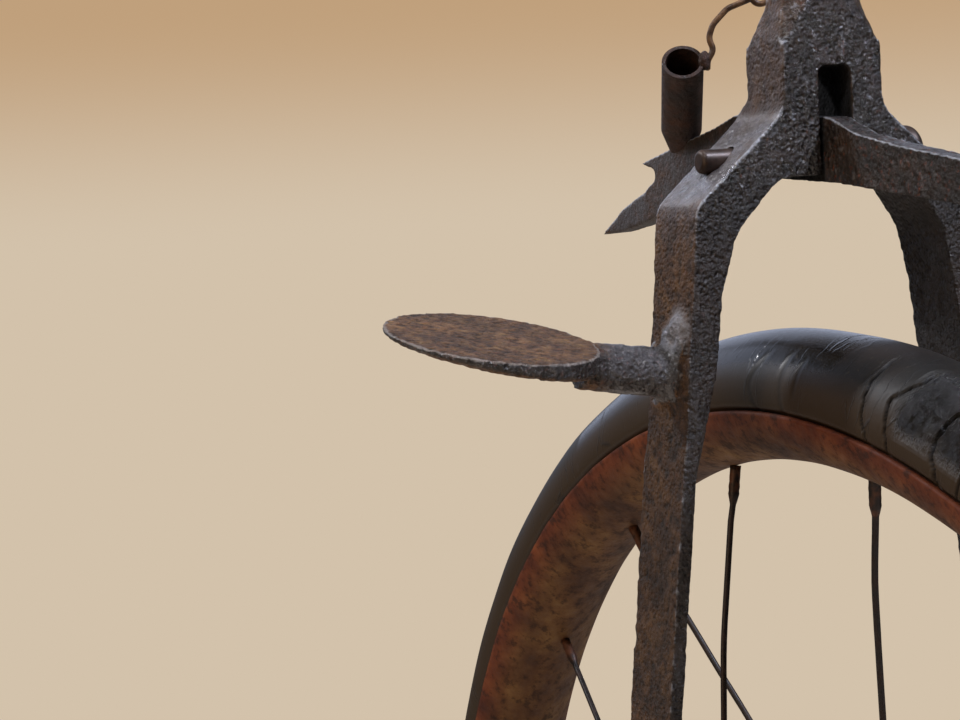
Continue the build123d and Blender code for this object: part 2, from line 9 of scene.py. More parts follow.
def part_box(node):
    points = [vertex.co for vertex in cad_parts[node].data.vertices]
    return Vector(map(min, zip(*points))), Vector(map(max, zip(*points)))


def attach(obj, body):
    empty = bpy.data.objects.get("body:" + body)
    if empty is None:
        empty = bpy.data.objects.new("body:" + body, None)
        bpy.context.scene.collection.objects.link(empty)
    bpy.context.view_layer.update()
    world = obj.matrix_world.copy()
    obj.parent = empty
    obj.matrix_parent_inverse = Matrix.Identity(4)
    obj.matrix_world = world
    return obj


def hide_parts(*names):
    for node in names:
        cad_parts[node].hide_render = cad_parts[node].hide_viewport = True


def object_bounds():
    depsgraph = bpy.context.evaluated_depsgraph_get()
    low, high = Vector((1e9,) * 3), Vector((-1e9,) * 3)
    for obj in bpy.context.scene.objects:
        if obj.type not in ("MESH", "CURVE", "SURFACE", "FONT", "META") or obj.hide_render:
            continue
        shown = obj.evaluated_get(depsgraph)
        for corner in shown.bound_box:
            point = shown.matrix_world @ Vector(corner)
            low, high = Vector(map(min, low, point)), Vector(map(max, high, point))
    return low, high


# Rear fork, wheel and brake lever of a high-wheel velocipede. Metres, +Z up the
# fork, +X forward, +Y to the rider's left, origin on the backbone tube's seat.

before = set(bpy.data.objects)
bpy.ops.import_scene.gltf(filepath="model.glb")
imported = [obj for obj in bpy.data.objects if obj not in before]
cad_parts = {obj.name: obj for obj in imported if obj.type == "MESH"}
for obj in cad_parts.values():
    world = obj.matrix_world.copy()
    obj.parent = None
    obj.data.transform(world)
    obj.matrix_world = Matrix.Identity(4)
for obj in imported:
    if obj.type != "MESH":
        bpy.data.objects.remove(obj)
cad_low, cad_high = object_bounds()
MM = 0.001


def show(name, data):
    """An object that shows the data, put in the scene."""
    shown = bpy.data.objects.new(name, data)
    bpy.context.scene.collection.objects.link(shown)
    return shown


# The view: the place and turn that the wheel's ellipses and the fork's edges ask for

camera_data = bpy.data.cameras.new("camera")
camera_data.lens = 82.5
camera_data.sensor_width = 36.0
camera = show("camera", camera_data)
camera.matrix_world = Matrix(
    (
        (-0.38613, 0.05123, -0.92102, -0.3796),
        (-0.92096, -0.07797, 0.38177, 0.2314),
        (-0.05225, 0.99564, 0.07729, -0.0516),
        (0.0, 0.0, 0.0, 1.0),
    )
)
bpy.context.scene.camera = camera
bpy.context.scene.view_settings.view_transform = "Standard"


# Helpers

def linear(code):
    """An sRGB hex colour as the linear one that shaders use, by the sRGB curve."""
    parts = [int(code[place:place + 2], 16) / 255 for place in (1, 3, 5)]
    return (*[c / 12.92 if c <= 0.04045 else ((c + 0.055) / 1.055) ** 2.4 for c in parts], 1.0)


def per(millimetres):
    """The texture scale whose pattern repeats about every so many millimetres."""
    return 1000 / millimetres


def add(tree, kind, wires=None, stops=None, **options):
    """One shader node, with its options, its ramp's stops, and what feeds each socket."""
    made = tree.nodes.new("ShaderNode" + kind)
    for option, value in options.items():
        setattr(made, option, value)
    if stops:
        elements = made.color_ramp.elements
        while len(elements) < len(stops):
            elements.new(0.5)
        for element, (place, colour) in zip(elements, stops):
            element.position = place
            element.color = linear(colour)
    for socket, value in (wires or {}).items():
        if isinstance(value, bpy.types.NodeSocket):
            tree.links.new(value, made.inputs[socket])
        else:
            made.inputs[socket].default_value = value
    return made


def new_material(name):
    """An empty material, with its tree and the place on the piece in metres."""
    material = bpy.data.materials.new(name)
    material.use_nodes = True
    tree = material.node_tree
    tree.nodes.clear()
    place = add(tree, "TexCoord").outputs["Object"]
    return material, tree, place


def finish_material(tree, shader):
    add(tree, "OutputMaterial", {"Surface": shader})


# Finishes

# Relief that all the forgings share, in millimetres: the grit's size, then how
# high grit, pits and flakes stand, the flakes as a share of their own size
grit_size, grit_height, pit_height, flake_height_share = 0.5, 0.35, 0.6, 0.45
rust_fade = 0.08  # of the noise, from clean to rusty
# Near black for the soot and painted shade in the slot, then the dark of dirt, which also lays on
# painted shade
soot_shade_black, dirt_shade_black = "#020101", "#0f0a08"
# The lighter grey of faces worn smooth, which is partly a painted sheen, and their metal share
rubbed_sheen_grey, satin_metal = "#7e7c80", 0.45


def forged_iron(name, look):
    """Wrought iron, hammered hot and left black, then rusted and oiled.

    The eye sees a brown-black skin, flaked and pitted, that glints where it is
    oily, with dry rust in places, bare metal on the most worn edges, and a lighter grey painted
    sheen on faces worn smooth."""
    material, tree, place = new_material(name)
    # The flakes lie along the fibres, which forging draws out along the bar
    fibres = add(tree, "VectorMath", {0: place, 1: look["fibre"]}, operation="MULTIPLY").outputs[0]
    drift = add(tree, "TexNoise", {"Vector": place, "Scale": per(look["drift"]), "Detail": 3.0})
    blotches = add(tree, "TexNoise", {
        "Vector": place, "Scale": per(look["blotch"]), "Detail": 8.0, "Roughness": 0.7,
        "Distortion": 0.3})
    flakes = add(tree, "TexNoise", {
        "Vector": fibres, "Scale": per(look["flake"]), "Detail": 6.0, "Roughness": 0.62})
    pits = add(tree, "TexVoronoi", {
        "Vector": fibres, "Scale": per(look["pit"]), "Randomness": 1.0, "Smoothness": 0.3},
        feature="SMOOTH_F1")
    grit = add(tree, "TexNoise", {
        "Vector": place, "Scale": per(grit_size), "Detail": 3.0, "Roughness": 0.7})
    black = add(tree, "ValToRGB", {"Fac": blotches.outputs["Fac"]}, stops=black_skin)
    brown = add(tree, "ValToRGB", {"Fac": blotches.outputs["Fac"]}, stops=look["skin"])
    marked = add(tree, "Attribute", attribute_name="brown").outputs["Fac"]
    share = add(tree, "Math", {0: marked, 1: look["brown"]}, operation="MAXIMUM").outputs[0]
    skin = add(tree, "Mix", {0: share, 6: black.outputs["Color"], 7: brown.outputs["Color"]},
               data_type="RGBA")
    shade = add(tree, "MapRange", {
        "Value": drift.outputs["Fac"], "From Min": 0.3, "From Max": 0.7, "To Min": 0.65,
        "To Max": 1.3})
    drifted = add(tree, "Mix", {0: 1.0, 6: skin.outputs[2], 7: shade.outputs["Result"]},
                  data_type="RGBA", blend_type="MULTIPLY")
    # Specks of orange rust, finer than the flakes
    specks = add(tree, "TexNoise", {
        "Vector": place, "Scale": per(look["speck"]), "Detail": 5.0, "Roughness": 0.7})
    rust_mask = add(tree, "MapRange", {
        "Value": specks.outputs["Fac"], "From Min": look["rust_from"],
        "From Max": look["rust_from"] + rust_fade, "To Min": 0.0, "To Max": look["rust_most"]})
    still = add(tree, "Attribute", attribute_name="calm").outputs["Fac"]
    restless = add(tree, "MapRange", {
        "Value": still, "From Min": 0.0, "From Max": 1.0, "To Min": 1.0, "To Max": 0.25})
    bloom = add(tree, "Math", {0: rust_mask.outputs["Result"], 1: restless.outputs["Result"]},
                operation="MULTIPLY")
    rusted = add(tree, "Mix", {0: bloom.outputs[0], 6: drifted.outputs[2], 7: linear(look["rust"])},
                 data_type="RGBA")
    # Old dirt darkens the hollows, both those in the mesh and the small pits, and the same
    # dark mix lays on the painted shade and other darkening that the finish marks
    hollow_shade = add(tree, "Attribute", attribute_name="hollow_shade")
    pit_floor = add(tree, "MapRange", {
        "Value": flakes.outputs["Fac"], "From Min": 0.5, "From Max": 0.34, "To Min": 0.0,
        "To Max": 0.8})
    deep = add(tree, "Math", {0: hollow_shade.outputs["Fac"], 1: pit_floor.outputs["Result"]},
               operation="MAXIMUM")
    dirt_shade = add(tree, "Math", {0: deep.outputs[0], 1: look["dirt_shade"]}, operation="MULTIPLY")
    dirt_shaded = add(tree, "Mix", {0: dirt_shade.outputs[0], 6: rusted.outputs[2], 7: linear(dirt_shade_black)},
                data_type="RGBA")
    # Worn edges show bare metal, broken up by the flakes; so does the weld bead, as a painted
    # highlight
    worn = add(tree, "Attribute", attribute_name="worn")
    broken = add(tree, "Math", {0: worn.outputs["Fac"], 1: flakes.outputs["Fac"]},
                 operation="MULTIPLY")
    edge_bare = add(tree, "MapRange", {
        "Value": broken.outputs[0], "From Min": 0.26, "From Max": 0.5, "To Min": 0.0,
        "To Max": look["bare"]})
    # So do the crests of the flakes, in patches: bare metal there, and a painted glint too
    crest = add(tree, "MapRange", {
        "Value": flakes.outputs["Fac"], "From Min": 0.58, "From Max": 0.64, "To Min": 0.0,
        "To Max": look["crest"]})
    crest_patch = add(tree, "MapRange", {
        "Value": blotches.outputs["Fac"], "From Min": 0.42, "From Max": 0.58, "To Min": 0.3,
        "To Max": 1.0})
    crest_here = add(tree, "Math", {0: crest.outputs["Result"], 1: crest_patch.outputs["Result"]},
                     operation="MULTIPLY")
    covered = add(tree, "Math", {0: hollow_shade.outputs["Fac"], 1: share}, operation="MAXIMUM")
    uncovered = add(tree, "MapRange", {
        "Value": covered.outputs[0], "From Min": 0.0, "From Max": 1.0, "To Min": 1.0,
        "To Max": 0.1})
    bare_crest_glint = add(tree, "Math", {0: crest_here.outputs[0], 1: uncovered.outputs["Result"]},
                     operation="MULTIPLY")
    bare = add(tree, "Math", {0: edge_bare.outputs["Result"], 1: bare_crest_glint.outputs[0]},
               operation="MAXIMUM")
    colour = add(tree, "Mix", {0: bare.outputs[0], 6: dirt_shaded.outputs[2], 7: linear(look["metal"])},
                 data_type="RGBA")
    metallic = add(tree, "MapRange", {
        "Value": bare.outputs[0], "From Min": 0.0, "From Max": 1.0, "To Min": look["metallic"],
        "To Max": 0.85})
    # Faces worn smooth by years of hands are satin, and painted a lighter grey as a painted sheen
    rubbed_sheen = add(tree, "Attribute", attribute_name="rubbed_sheen")
    satin = add(tree, "MapRange", {
        "Value": blotches.outputs["Fac"], "From Min": 0.34, "From Max": 0.6, "To Min": 0.95,
        "To Max": 0.25})
    satin_here = add(tree, "Math", {0: rubbed_sheen.outputs["Fac"], 1: satin.outputs["Result"]},
                     operation="MULTIPLY")
    polished_sheen = add(tree, "Mix", {
        0: satin_here.outputs[0], 6: colour.outputs[2], 7: linear(rubbed_sheen_grey)}, data_type="RGBA")
    metal_share = add(tree, "Math", {0: satin_here.outputs[0], 1: satin_metal},
                      operation="MULTIPLY")
    metallic_here = add(tree, "Math", {0: metal_share.outputs[0], 1: metallic.outputs["Result"]},
                        operation="MAXIMUM")
    rough = add(tree, "MapRange", {
        "Value": blotches.outputs["Fac"], "From Min": 0.36, "From Max": 0.64,
        "To Min": look["rough"][0], "To Max": look["rough"][1]})
    # Soot and grease in the slot, with painted shade there: the slot's walls are painted near black
    soot_shade = add(tree, "Attribute", attribute_name="soot_shade")
    soot_shaded = add(tree, "Mix", {
        0: soot_shade.outputs["Fac"], 6: polished_sheen.outputs[2], 7: linear(soot_shade_black)}, data_type="RGBA")
    clean = add(tree, "Math", {0: 1.0, 1: soot_shade.outputs["Fac"]}, operation="SUBTRACT")
    soot_shaded_metal = add(tree, "Math", {0: metallic_here.outputs[0], 1: clean.outputs[0]},
                      operation="MULTIPLY")
    # Dirt, soot and brown rust are rough
    gritty = add(tree, "Math", {0: dirt_shade.outputs[0], 1: 0.75}, operation="MULTIPLY")
    dry = add(tree, "Math", {0: gritty.outputs[0], 1: soot_shade.outputs["Fac"]}, operation="MAXIMUM")
    dusty = add(tree, "Math", {0: share, 1: 0.62}, operation="MULTIPLY")
    dull = add(tree, "Math", {0: rough.outputs["Result"], 1: dusty.outputs[0]}, operation="MAXIMUM")
    soot_shaded_rough = add(tree, "Math", {0: dull.outputs[0], 1: dry.outputs[0]}, operation="MAXIMUM")
    # The black places are oily, the brown and dirty ones dry
    wet = add(tree, "MapRange", {
        "Value": share, "From Min": 0.0, "From Max": 1.0, "To Min": look["oil"], "To Max": 0.06})
    undried = add(tree, "Math", {0: 1.0, 1: dry.outputs[0]}, operation="SUBTRACT")
    oil = add(tree, "Math", {0: undried.outputs[0], 1: wet.outputs["Result"]}, operation="MULTIPLY")
    # Relief: flakes, then round pits, then grit, all calmer where hands have rubbed
    flake_amount = add(tree, "Math", {0: restless.outputs["Result"], 1: look["flake_strength"]},
                       operation="MULTIPLY")
    pit_amount = add(tree, "Math", {0: restless.outputs["Result"], 1: look["pit_strength"]},
                     operation="MULTIPLY")
    flake_height = add(tree, "MapRange", {
        "Value": flakes.outputs["Fac"], "From Min": 0.34, "From Max": 0.66, "To Min": 0.0,
        "To Max": 1.0})
    flake_bump = add(tree, "Bump", {
        "Height": flake_height.outputs["Result"], "Strength": flake_amount.outputs[0],
        "Distance": look["flake"] * flake_height_share * MM})
    pit_depth = add(tree, "MapRange", {
        "Value": pits.outputs["Distance"], "From Min": 0.0, "From Max": 0.5, "To Min": 0.0,
        "To Max": 1.0})
    pit_bump = add(tree, "Bump", {
        "Height": pit_depth.outputs["Result"], "Strength": pit_amount.outputs[0],
        "Distance": pit_height * MM, "Normal": flake_bump.outputs["Normal"]})
    grit_bump = add(tree, "Bump", {
        "Height": grit.outputs["Fac"], "Strength": look["grit_strength"],
        "Distance": grit_height * MM, "Normal": pit_bump.outputs["Normal"]})
    shader = add(tree, "BsdfPrincipled", {
        "Base Color": soot_shaded.outputs[2], "Metallic": soot_shaded_metal.outputs[0],
        "Roughness": soot_shaded_rough.outputs[0], "Normal": grit_bump.outputs["Normal"],
        "Coat Weight": oil.outputs[0], "Coat Roughness": 0.1,
        "Coat Normal": grit_bump.outputs["Normal"]})
    finish_material(tree, shader.outputs["BSDF"])
    return material


# Forge scale under old oil, which shows where the brown rust has not come through
black_skin = [(0.30, "#0b0807"), (0.46, "#16100e"), (0.60, "#251812"), (0.75, "#37271d")]
fork_look = dict(
    drift=24, blotch=5.5, flake=1.7, speck=1.5, pit=1.15, fibre=(1.0, 1.0, 1.1), brown=0.0,
    skin=[(0.30, "#28190d"), (0.46, "#4b311a"), (0.60, "#664624"), (0.75, "#7c5c34")],
    rust="#7a3c1e", rust_from=0.62, rust_most=0.5, dirt_shade=0.75, bare=0.85, crest=0.7,
    metal="#a9adb4", metallic=0.15, rough=(0.2, 0.44),
    flake_strength=0.9, pit_strength=1.0, grit_strength=0.4, oil=0.9)
# Each look's sizes, drift, blotch, flake, speck and pit, are in millimetres. fibre
# stretches the flakes, brown is the least share of brown skin, and the rest are
# how much of each mark shows, colours, and the shader's own values
iron_looks = {
    # the crown and the blades are one forging, black and pitted behind and brown at the sides
    "crown_iron": fork_look,
    "blade_iron": fork_look,
    # the step's plate is dry brown rust, pitted all over
    "step_iron": dict(
        drift=16, blotch=3.2, flake=1.3, speck=1.2, pit=1.3, fibre=(1.0, 1.0, 1.0), brown=0.0,
        skin=[(0.30, "#2f1e10"), (0.45, "#583a21"), (0.57, "#73512f"), (0.72, "#8b6b41")],
        rust="#6e3218", rust_from=0.58, rust_most=0.55, dirt_shade=0.8, bare=0.6, crest=0.3,
        metal="#a09a94", metallic=0.15, rough=(0.36, 0.6),
        flake_strength=0.7, pit_strength=0.8, grit_strength=0.7, oil=0.9),
    # the lever is flaky: black scale, brown rust and orange bloom
    "lever_iron": dict(
        drift=18, blotch=4.5, flake=1.5, speck=1.1, pit=1.4, fibre=(1.0, 1.0, 1.0), brown=0.0,
        skin=[(0.30, "#110a05"), (0.45, "#22160b"), (0.58, "#382413"), (0.72, "#50361c")],
        rust="#a4501f", rust_from=0.59, rust_most=0.8, dirt_shade=0.7, bare=0.9, crest=0.5,
        metal="#adb0b6", metallic=0.1, rough=(0.26, 0.52),
        flake_strength=0.75, pit_strength=0.7, grit_strength=0.5, oil=0.6),
    # the cord tube was drawn, so it is nearly smooth under its brown skin
    "tube_iron": dict(
        drift=14, blotch=5, flake=2.0, speck=1.5, pit=2.0, fibre=(1.0, 1.0, 1.0), brown=1.0,
        skin=[(0.30, "#190d06"), (0.46, "#2b170b"), (0.60, "#3d2110"), (0.75, "#523018")],
        rust="#6b3a1f", rust_from=0.62, rust_most=0.4, dirt_shade=0.5, bare=0.5, crest=0.0,
        metal="#8d8782", metallic=0.1, rough=(0.5, 0.68),
        flake_strength=0.4, pit_strength=0.3, grit_strength=0.4, oil=0.0),
    # the brake shoe and its rivet have never been oiled
    "shoe_iron": dict(
        drift=18, blotch=5, flake=2.0, speck=1.5, pit=1.8, fibre=(1.0, 1.0, 1.0), brown=1.0,
        skin=[(0.30, "#2b1e18"), (0.45, "#463023"), (0.58, "#5e422e"), (0.72, "#735339")],
        rust="#854320", rust_from=0.60, rust_most=0.6, dirt_shade=0.7, bare=0.5, crest=0.3,
        metal="#99928b", metallic=0.15, rough=(0.42, 0.66),
        flake_strength=0.6, pit_strength=0.4, grit_strength=0.5, oil=0.0),
}
irons = {name: forged_iron(name, look) for name, look in iron_looks.items()}


def rolled_rim_iron():
    """Strip iron, rolled to a crescent: smooth under mottled brown rust and old paint."""
    material, tree, place = new_material("rim_iron")
    mottle = add(tree, "TexNoise", {
        "Vector": place, "Scale": per(11), "Detail": 5.0, "Roughness": 0.6})
    spots = add(tree, "TexNoise", {
        "Vector": place, "Scale": per(2.8), "Detail": 5.0, "Roughness": 0.7})
    skin = add(tree, "ValToRGB", {"Fac": mottle.outputs["Fac"]},
               stops=[(0.33, "#4a2c14"), (0.45, "#684624"), (0.56, "#7e5c36"), (0.70, "#9a7a52")])
    spot_mask = add(tree, "MapRange", {
        "Value": spots.outputs["Fac"], "From Min": 0.52, "From Max": 0.62, "To Min": 0.0,
        "To Max": 0.7})
    # The band beside the tyre is redder and darker, the inside is tan. Both colours
    # are at half strength, and the gain lifts them again
    gain = 2.0
    inside = add(tree, "Attribute", attribute_name="inside").outputs["Fac"]
    banded = add(tree, "Mix", {0: inside, 6: linear("#9c6a50"), 7: linear("#8e836c")},
                 data_type="RGBA")
    band_skin = add(tree, "Mix", {0: 1.0, 6: skin.outputs["Color"], 7: banded.outputs[2]},
                    data_type="RGBA", blend_type="MULTIPLY")
    band_light = add(tree, "Mix", {0: 1.0, 6: band_skin.outputs[2], 7: (gain, gain, gain, 1.0)},
                     data_type="RGBA", blend_type="MULTIPLY")
    spotted = add(tree, "Mix", {
        0: spot_mask.outputs["Result"], 6: band_light.outputs[2], 7: linear("#25150d")},
        data_type="RGBA")
    rough = add(tree, "MapRange", {
        "Value": spots.outputs["Fac"], "From Min": 0.35, "From Max": 0.65, "To Min": 0.6,
        "To Max": 0.82})
    wave_bump = add(tree, "Bump", {
        "Height": mottle.outputs["Fac"], "Strength": 0.25, "Distance": 0.8 * MM})
    spot_bump = add(tree, "Bump", {
        "Height": spots.outputs["Fac"], "Strength": 0.6, "Distance": 0.4 * MM,
        "Normal": wave_bump.outputs["Normal"]})
    shader = add(tree, "BsdfPrincipled", {
        "Base Color": spotted.outputs[2], "Roughness": rough.outputs["Result"],
        "Specular IOR Level": 0.35, "Normal": spot_bump.outputs["Normal"]})
    finish_material(tree, shader.outputs["BSDF"])
    return material


def drawn_wire_iron(name, dark, light, size):
    """Iron wire, drawn smooth through a die and gone dull, with a little brown along it."""
    material, tree, place = new_material(name)
    blotches = add(tree, "TexNoise", {
        "Vector": place, "Scale": per(size), "Detail": 5.0, "Roughness": 0.6})
    colour = add(tree, "ValToRGB", {"Fac": blotches.outputs["Fac"]},
                 stops=[(0.38, dark), (0.68, light)])
    # The nipples are rustier than the wires
    rusty = add(tree, "Attribute", attribute_name="rusty").outputs["Fac"]
    rust = add(tree, "ValToRGB", {"Fac": blotches.outputs["Fac"]},
               stops=[(0.42, "#1c100a"), (0.62, "#5a3520")])
    browned = add(tree, "Mix", {0: rusty, 6: colour.outputs["Color"], 7: rust.outputs["Color"]},
                  data_type="RGBA")
    rough = add(tree, "MapRange", {
        "Value": blotches.outputs["Fac"], "From Min": 0.3, "From Max": 0.7, "To Min": 0.42,
        "To Max": 0.62})
    bump = add(tree, "Bump", {
        "Height": blotches.outputs["Fac"], "Strength": 0.5, "Distance": 0.25 * MM})
    shader = add(tree, "BsdfPrincipled", {
        "Base Color": browned.outputs[2], "Metallic": 0.2, "Roughness": rough.outputs["Result"],
        "Normal": bump.outputs["Normal"]})
    finish_material(tree, shader.outputs["BSDF"])
    return material


def turned_steel(name, dark, light, metallic):
    """Steel turned on a lathe, browned with age: soft rings and specks of rust in a satin skin."""
    # Millimetres of a ring's spacing for each radian, and the wave texture's radians a unit
    ring_radian, wave_radians = 0.9, 20
    material, tree, place = new_material(name)
    blotches = add(tree, "TexNoise", {
        "Vector": place, "Scale": per(5), "Detail": 6.0, "Roughness": 0.65})
    specks = add(tree, "TexNoise", {
        "Vector": place, "Scale": per(0.9), "Detail": 3.0, "Roughness": 0.6})
    # Rings left by the tool: drawn 5.7 mm apart, coarser than real ones, so that they show
    rings = add(tree, "TexWave", {
        "Vector": place, "Scale": per(ring_radian) / wave_radians, "Distortion": 0.6, "Detail": 2.0,
        "Detail Scale": 1.0}, wave_type="BANDS", bands_direction="Y")
    colour = add(tree, "ValToRGB", {"Fac": blotches.outputs["Fac"]},
                 stops=[(0.36, dark), (0.66, light)])
    speck_mask = add(tree, "MapRange", {
        "Value": specks.outputs["Fac"], "From Min": 0.58, "From Max": 0.7, "To Min": 0.0,
        "To Max": 0.6})
    specked = add(tree, "Mix", {
        0: speck_mask.outputs["Result"], 6: colour.outputs["Color"], 7: linear("#4a2b1c")},
        data_type="RGBA")
    rough = add(tree, "MapRange", {
        "Value": blotches.outputs["Fac"], "From Min": 0.3, "From Max": 0.7, "To Min": 0.34,
        "To Max": 0.55})
    ring_bump = add(tree, "Bump", {
        "Height": rings.outputs["Fac"], "Strength": 0.25, "Distance": 0.05 * MM})
    bump = add(tree, "Bump", {
        "Height": specks.outputs["Fac"], "Strength": 0.3, "Distance": 0.12 * MM,
        "Normal": ring_bump.outputs["Normal"]})
    shader = add(tree, "BsdfPrincipled", {
        "Base Color": specked.outputs[2], "Metallic": metallic,
        "Roughness": rough.outputs["Result"], "Normal": bump.outputs["Normal"]})
    finish_material(tree, shader.outputs["BSDF"])
    return material


def old_solid_rubber():
    """Solid rubber, moulded smooth and perished: grey-black with a dull sheen,
    hair cracks across the tread, dust in the pores and raw ridged places that glitter."""
    # Millimetres round the tyre and across it
    hair_cell, ridge_cell = (4.0, 22.0), (1.2, 2.6)
    material, tree, place = new_material("tyre_rubber")
    turn = add(tree, "Attribute", attribute_name="round_mm").outputs["Fac"]
    across = add(tree, "Attribute", attribute_name="across_mm").outputs["Fac"]
    crack = add(tree, "Attribute", attribute_name="crack").outputs["Fac"]
    flake = add(tree, "Attribute", attribute_name="flaked").outputs["Fac"]
    # Hair cracks run across: they edge long cells
    wander = add(tree, "TexNoise", {"Vector": place, "Scale": per(5), "Detail": 3.0})
    wander_shift = add(tree, "MapRange", {
        "Value": wander.outputs["Fac"], "From Min": 0.0, "From Max": 1.0, "To Min": -1.6,
        "To Max": 1.6})
    turn_shifted = add(tree, "Math", {0: turn, 1: wander_shift.outputs["Result"]}, operation="ADD")
    turn_cells = add(tree, "Math", {0: turn_shifted.outputs[0], 1: 1 / hair_cell[0]},
                     operation="MULTIPLY")
    across_cells = add(tree, "Math", {0: across, 1: 1 / hair_cell[1]}, operation="MULTIPLY")
    cell_place = add(tree, "CombineXYZ", {"X": turn_cells.outputs[0], "Y": across_cells.outputs[0]})
    hair = add(tree, "TexVoronoi", {
        "Vector": cell_place.outputs[0], "Scale": 1.0, "Randomness": 0.9},
        feature="DISTANCE_TO_EDGE")
    hair_line = add(tree, "MapRange", {
        "Value": hair.outputs["Distance"], "From Min": 0.0, "From Max": 0.03, "To Min": 1.0,
        "To Max": 0.0})
    patchy = add(tree, "TexNoise", {"Vector": place, "Scale": per(13), "Detail": 2.0})
    hair_mask = add(tree, "MapRange", {
        "Value": patchy.outputs["Fac"], "From Min": 0.5, "From Max": 0.62, "To Min": 0.0,
        "To Max": 0.7})
    hair_here = add(tree, "Math", {0: hair_line.outputs["Result"], 1: hair_mask.outputs["Result"]},
                    operation="MULTIPLY")
    # Pores and dust
    pores = add(tree, "TexNoise", {
        "Vector": place, "Scale": per(0.9), "Detail": 5.0, "Roughness": 0.7})
    clouds = add(tree, "TexNoise", {
        "Vector": place, "Scale": per(16), "Detail": 4.0, "Roughness": 0.6})
    skin = add(tree, "ValToRGB", {"Fac": clouds.outputs["Fac"]},
               stops=[(0.33, "#0a0806"), (0.50, "#130f0b"), (0.68, "#201812")])
    dust_mask = add(tree, "MapRange", {
        "Value": pores.outputs["Fac"], "From Min": 0.60, "From Max": 0.72, "To Min": 0.0,
        "To Max": 0.35})
    dusty = add(tree, "Mix", {
        0: dust_mask.outputs["Result"], 6: skin.outputs["Color"], 7: linear("#665942")},
        data_type="RGBA")
    # Dust from the road browns the sides
    side = add(tree, "Attribute", attribute_name="side").outputs["Fac"]
    side_here = add(tree, "Math", {0: side, 1: 0.8}, operation="MULTIPLY")
    sided = add(tree, "Mix", {0: side_here.outputs[0], 6: dusty.outputs[2], 7: linear("#36260f")},
                data_type="RGBA")
    raw = add(tree, "Mix", {0: flake, 6: sided.outputs[2], 7: linear("#0a0807")}, data_type="RGBA")
    # Cracks, creases and hair cracks are painted near black: painted shade in them
    lines = add(tree, "Math", {0: hair_here.outputs[0], 1: crack}, operation="MAXIMUM")
    crack_shaded = add(tree, "Mix", {0: lines.outputs[0], 6: raw.outputs[2], 7: linear("#030202")},
                  data_type="RGBA")
    rough_pores = add(tree, "MapRange", {
        "Value": pores.outputs["Fac"], "From Min": 0.3, "From Max": 0.7, "To Min": 0.12,
        "To Max": 0.22})
    dull = add(tree, "Attribute", attribute_name="dull").outputs["Fac"]
    rough_dull = add(tree, "Mix", {0: dull, 2: rough_pores.outputs["Result"], 3: 0.52},
                     data_type="FLOAT")
    rough_side = add(tree, "Mix", {0: side, 2: rough_dull.outputs[0], 3: 0.6}, data_type="FLOAT")
    rough_raw = add(tree, "Mix", {0: flake, 2: rough_side.outputs[0], 3: 0.16}, data_type="FLOAT")
    rough = add(tree, "Mix", {0: crack, 2: rough_raw.outputs[0], 3: 0.9}, data_type="FLOAT")
    # Raw places are ridged like bark
    ridge_turn = add(tree, "Math", {0: turn, 1: 1 / ridge_cell[0]}, operation="MULTIPLY")
    ridge_across = add(tree, "Math", {0: across, 1: 1 / ridge_cell[1]}, operation="MULTIPLY")
    ridge_place = add(tree, "CombineXYZ", {
        "X": ridge_turn.outputs[0], "Y": ridge_across.outputs[0]})
    ridges = add(tree, "TexNoise", {
        "Vector": ridge_place.outputs[0], "Scale": 1.0, "Detail": 4.0, "Roughness": 0.65})
    ridge_height = add(tree, "Math", {0: ridges.outputs["Fac"], 1: flake}, operation="MULTIPLY")
    flake_bump = add(tree, "Bump", {
        "Height": ridge_height.outputs[0], "Strength": 1.0, "Distance": 2.0 * MM})
    pore_bump = add(tree, "Bump", {
        "Height": pores.outputs["Fac"], "Strength": 0.25, "Distance": 0.14 * MM,
        "Normal": flake_bump.outputs["Normal"]})
    hair_bump = add(tree, "Bump", {
        "Height": hair_here.outputs[0], "Strength": 0.4, "Distance": 0.3 * MM,
        "Normal": pore_bump.outputs["Normal"]})
    hair_bump.invert = True
    shader = add(tree, "BsdfPrincipled", {
        "Base Color": crack_shaded.outputs[2], "Roughness": rough.outputs[0], "IOR": 1.52,
        "Normal": hair_bump.outputs["Normal"], "Specular IOR Level": 0.4})
    finish_material(tree, shader.outputs["BSDF"])
    return material


rim_iron = rolled_rim_iron()
spoke_iron = drawn_wire_iron("spoke_iron", "#0e0807", "#2b1a13", 3.0)
pull_wire_iron = drawn_wire_iron("pull_wire_iron", "#3f2b1c", "#7d5c3d", 2.5)
hub_iron = turned_steel("hub_iron", "#221b17", "#4a3b31", 0.35)
axle_steel = turned_steel("axle_steel", "#2a211c", "#66574a", 0.55)
pin_steel = turned_steel("pin_steel", "#2c211c", "#4c3b32", 0.35)
tyre_rubber = old_solid_rubber()


# The forgings

def smoothed(values, edges, count, rounds):
    """Values averaged with their neighbours' along the mesh's edges."""
    for _ in range(rounds):
        total = values.copy()
        np.add.at(total, edges[:, 0], values[edges[:, 1]])
        np.add.at(total, edges[:, 1], values[edges[:, 0]])
        values = total / count
    return values


def column(values, attribute, width, kind=np.float64):
    """A mesh collection's attribute as rows of numbers."""
    out = np.empty(len(values) * width, dtype=kind)
    values.foreach_get(attribute, out)
    return out.reshape(-1, width)


def shade_smooth(mesh):
    mesh.polygons.foreach_set("use_smooth", [True] * len(mesh.polygons))


def add_piece(mesh, name, body, material, replaced=None, marks=None):
    """A mesh as a piece that rides on a body, with the marks that its shader reads."""
    for mark, values in (marks or {}).items():
        attribute = mesh.attributes.new(mark, "FLOAT", "POINT")
        attribute.data.foreach_set("value", values.ravel().astype(np.float32))
    mesh.materials.append(material)
    piece = show(name, mesh)
    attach(piece, body)
    if replaced:
        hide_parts(replaced)


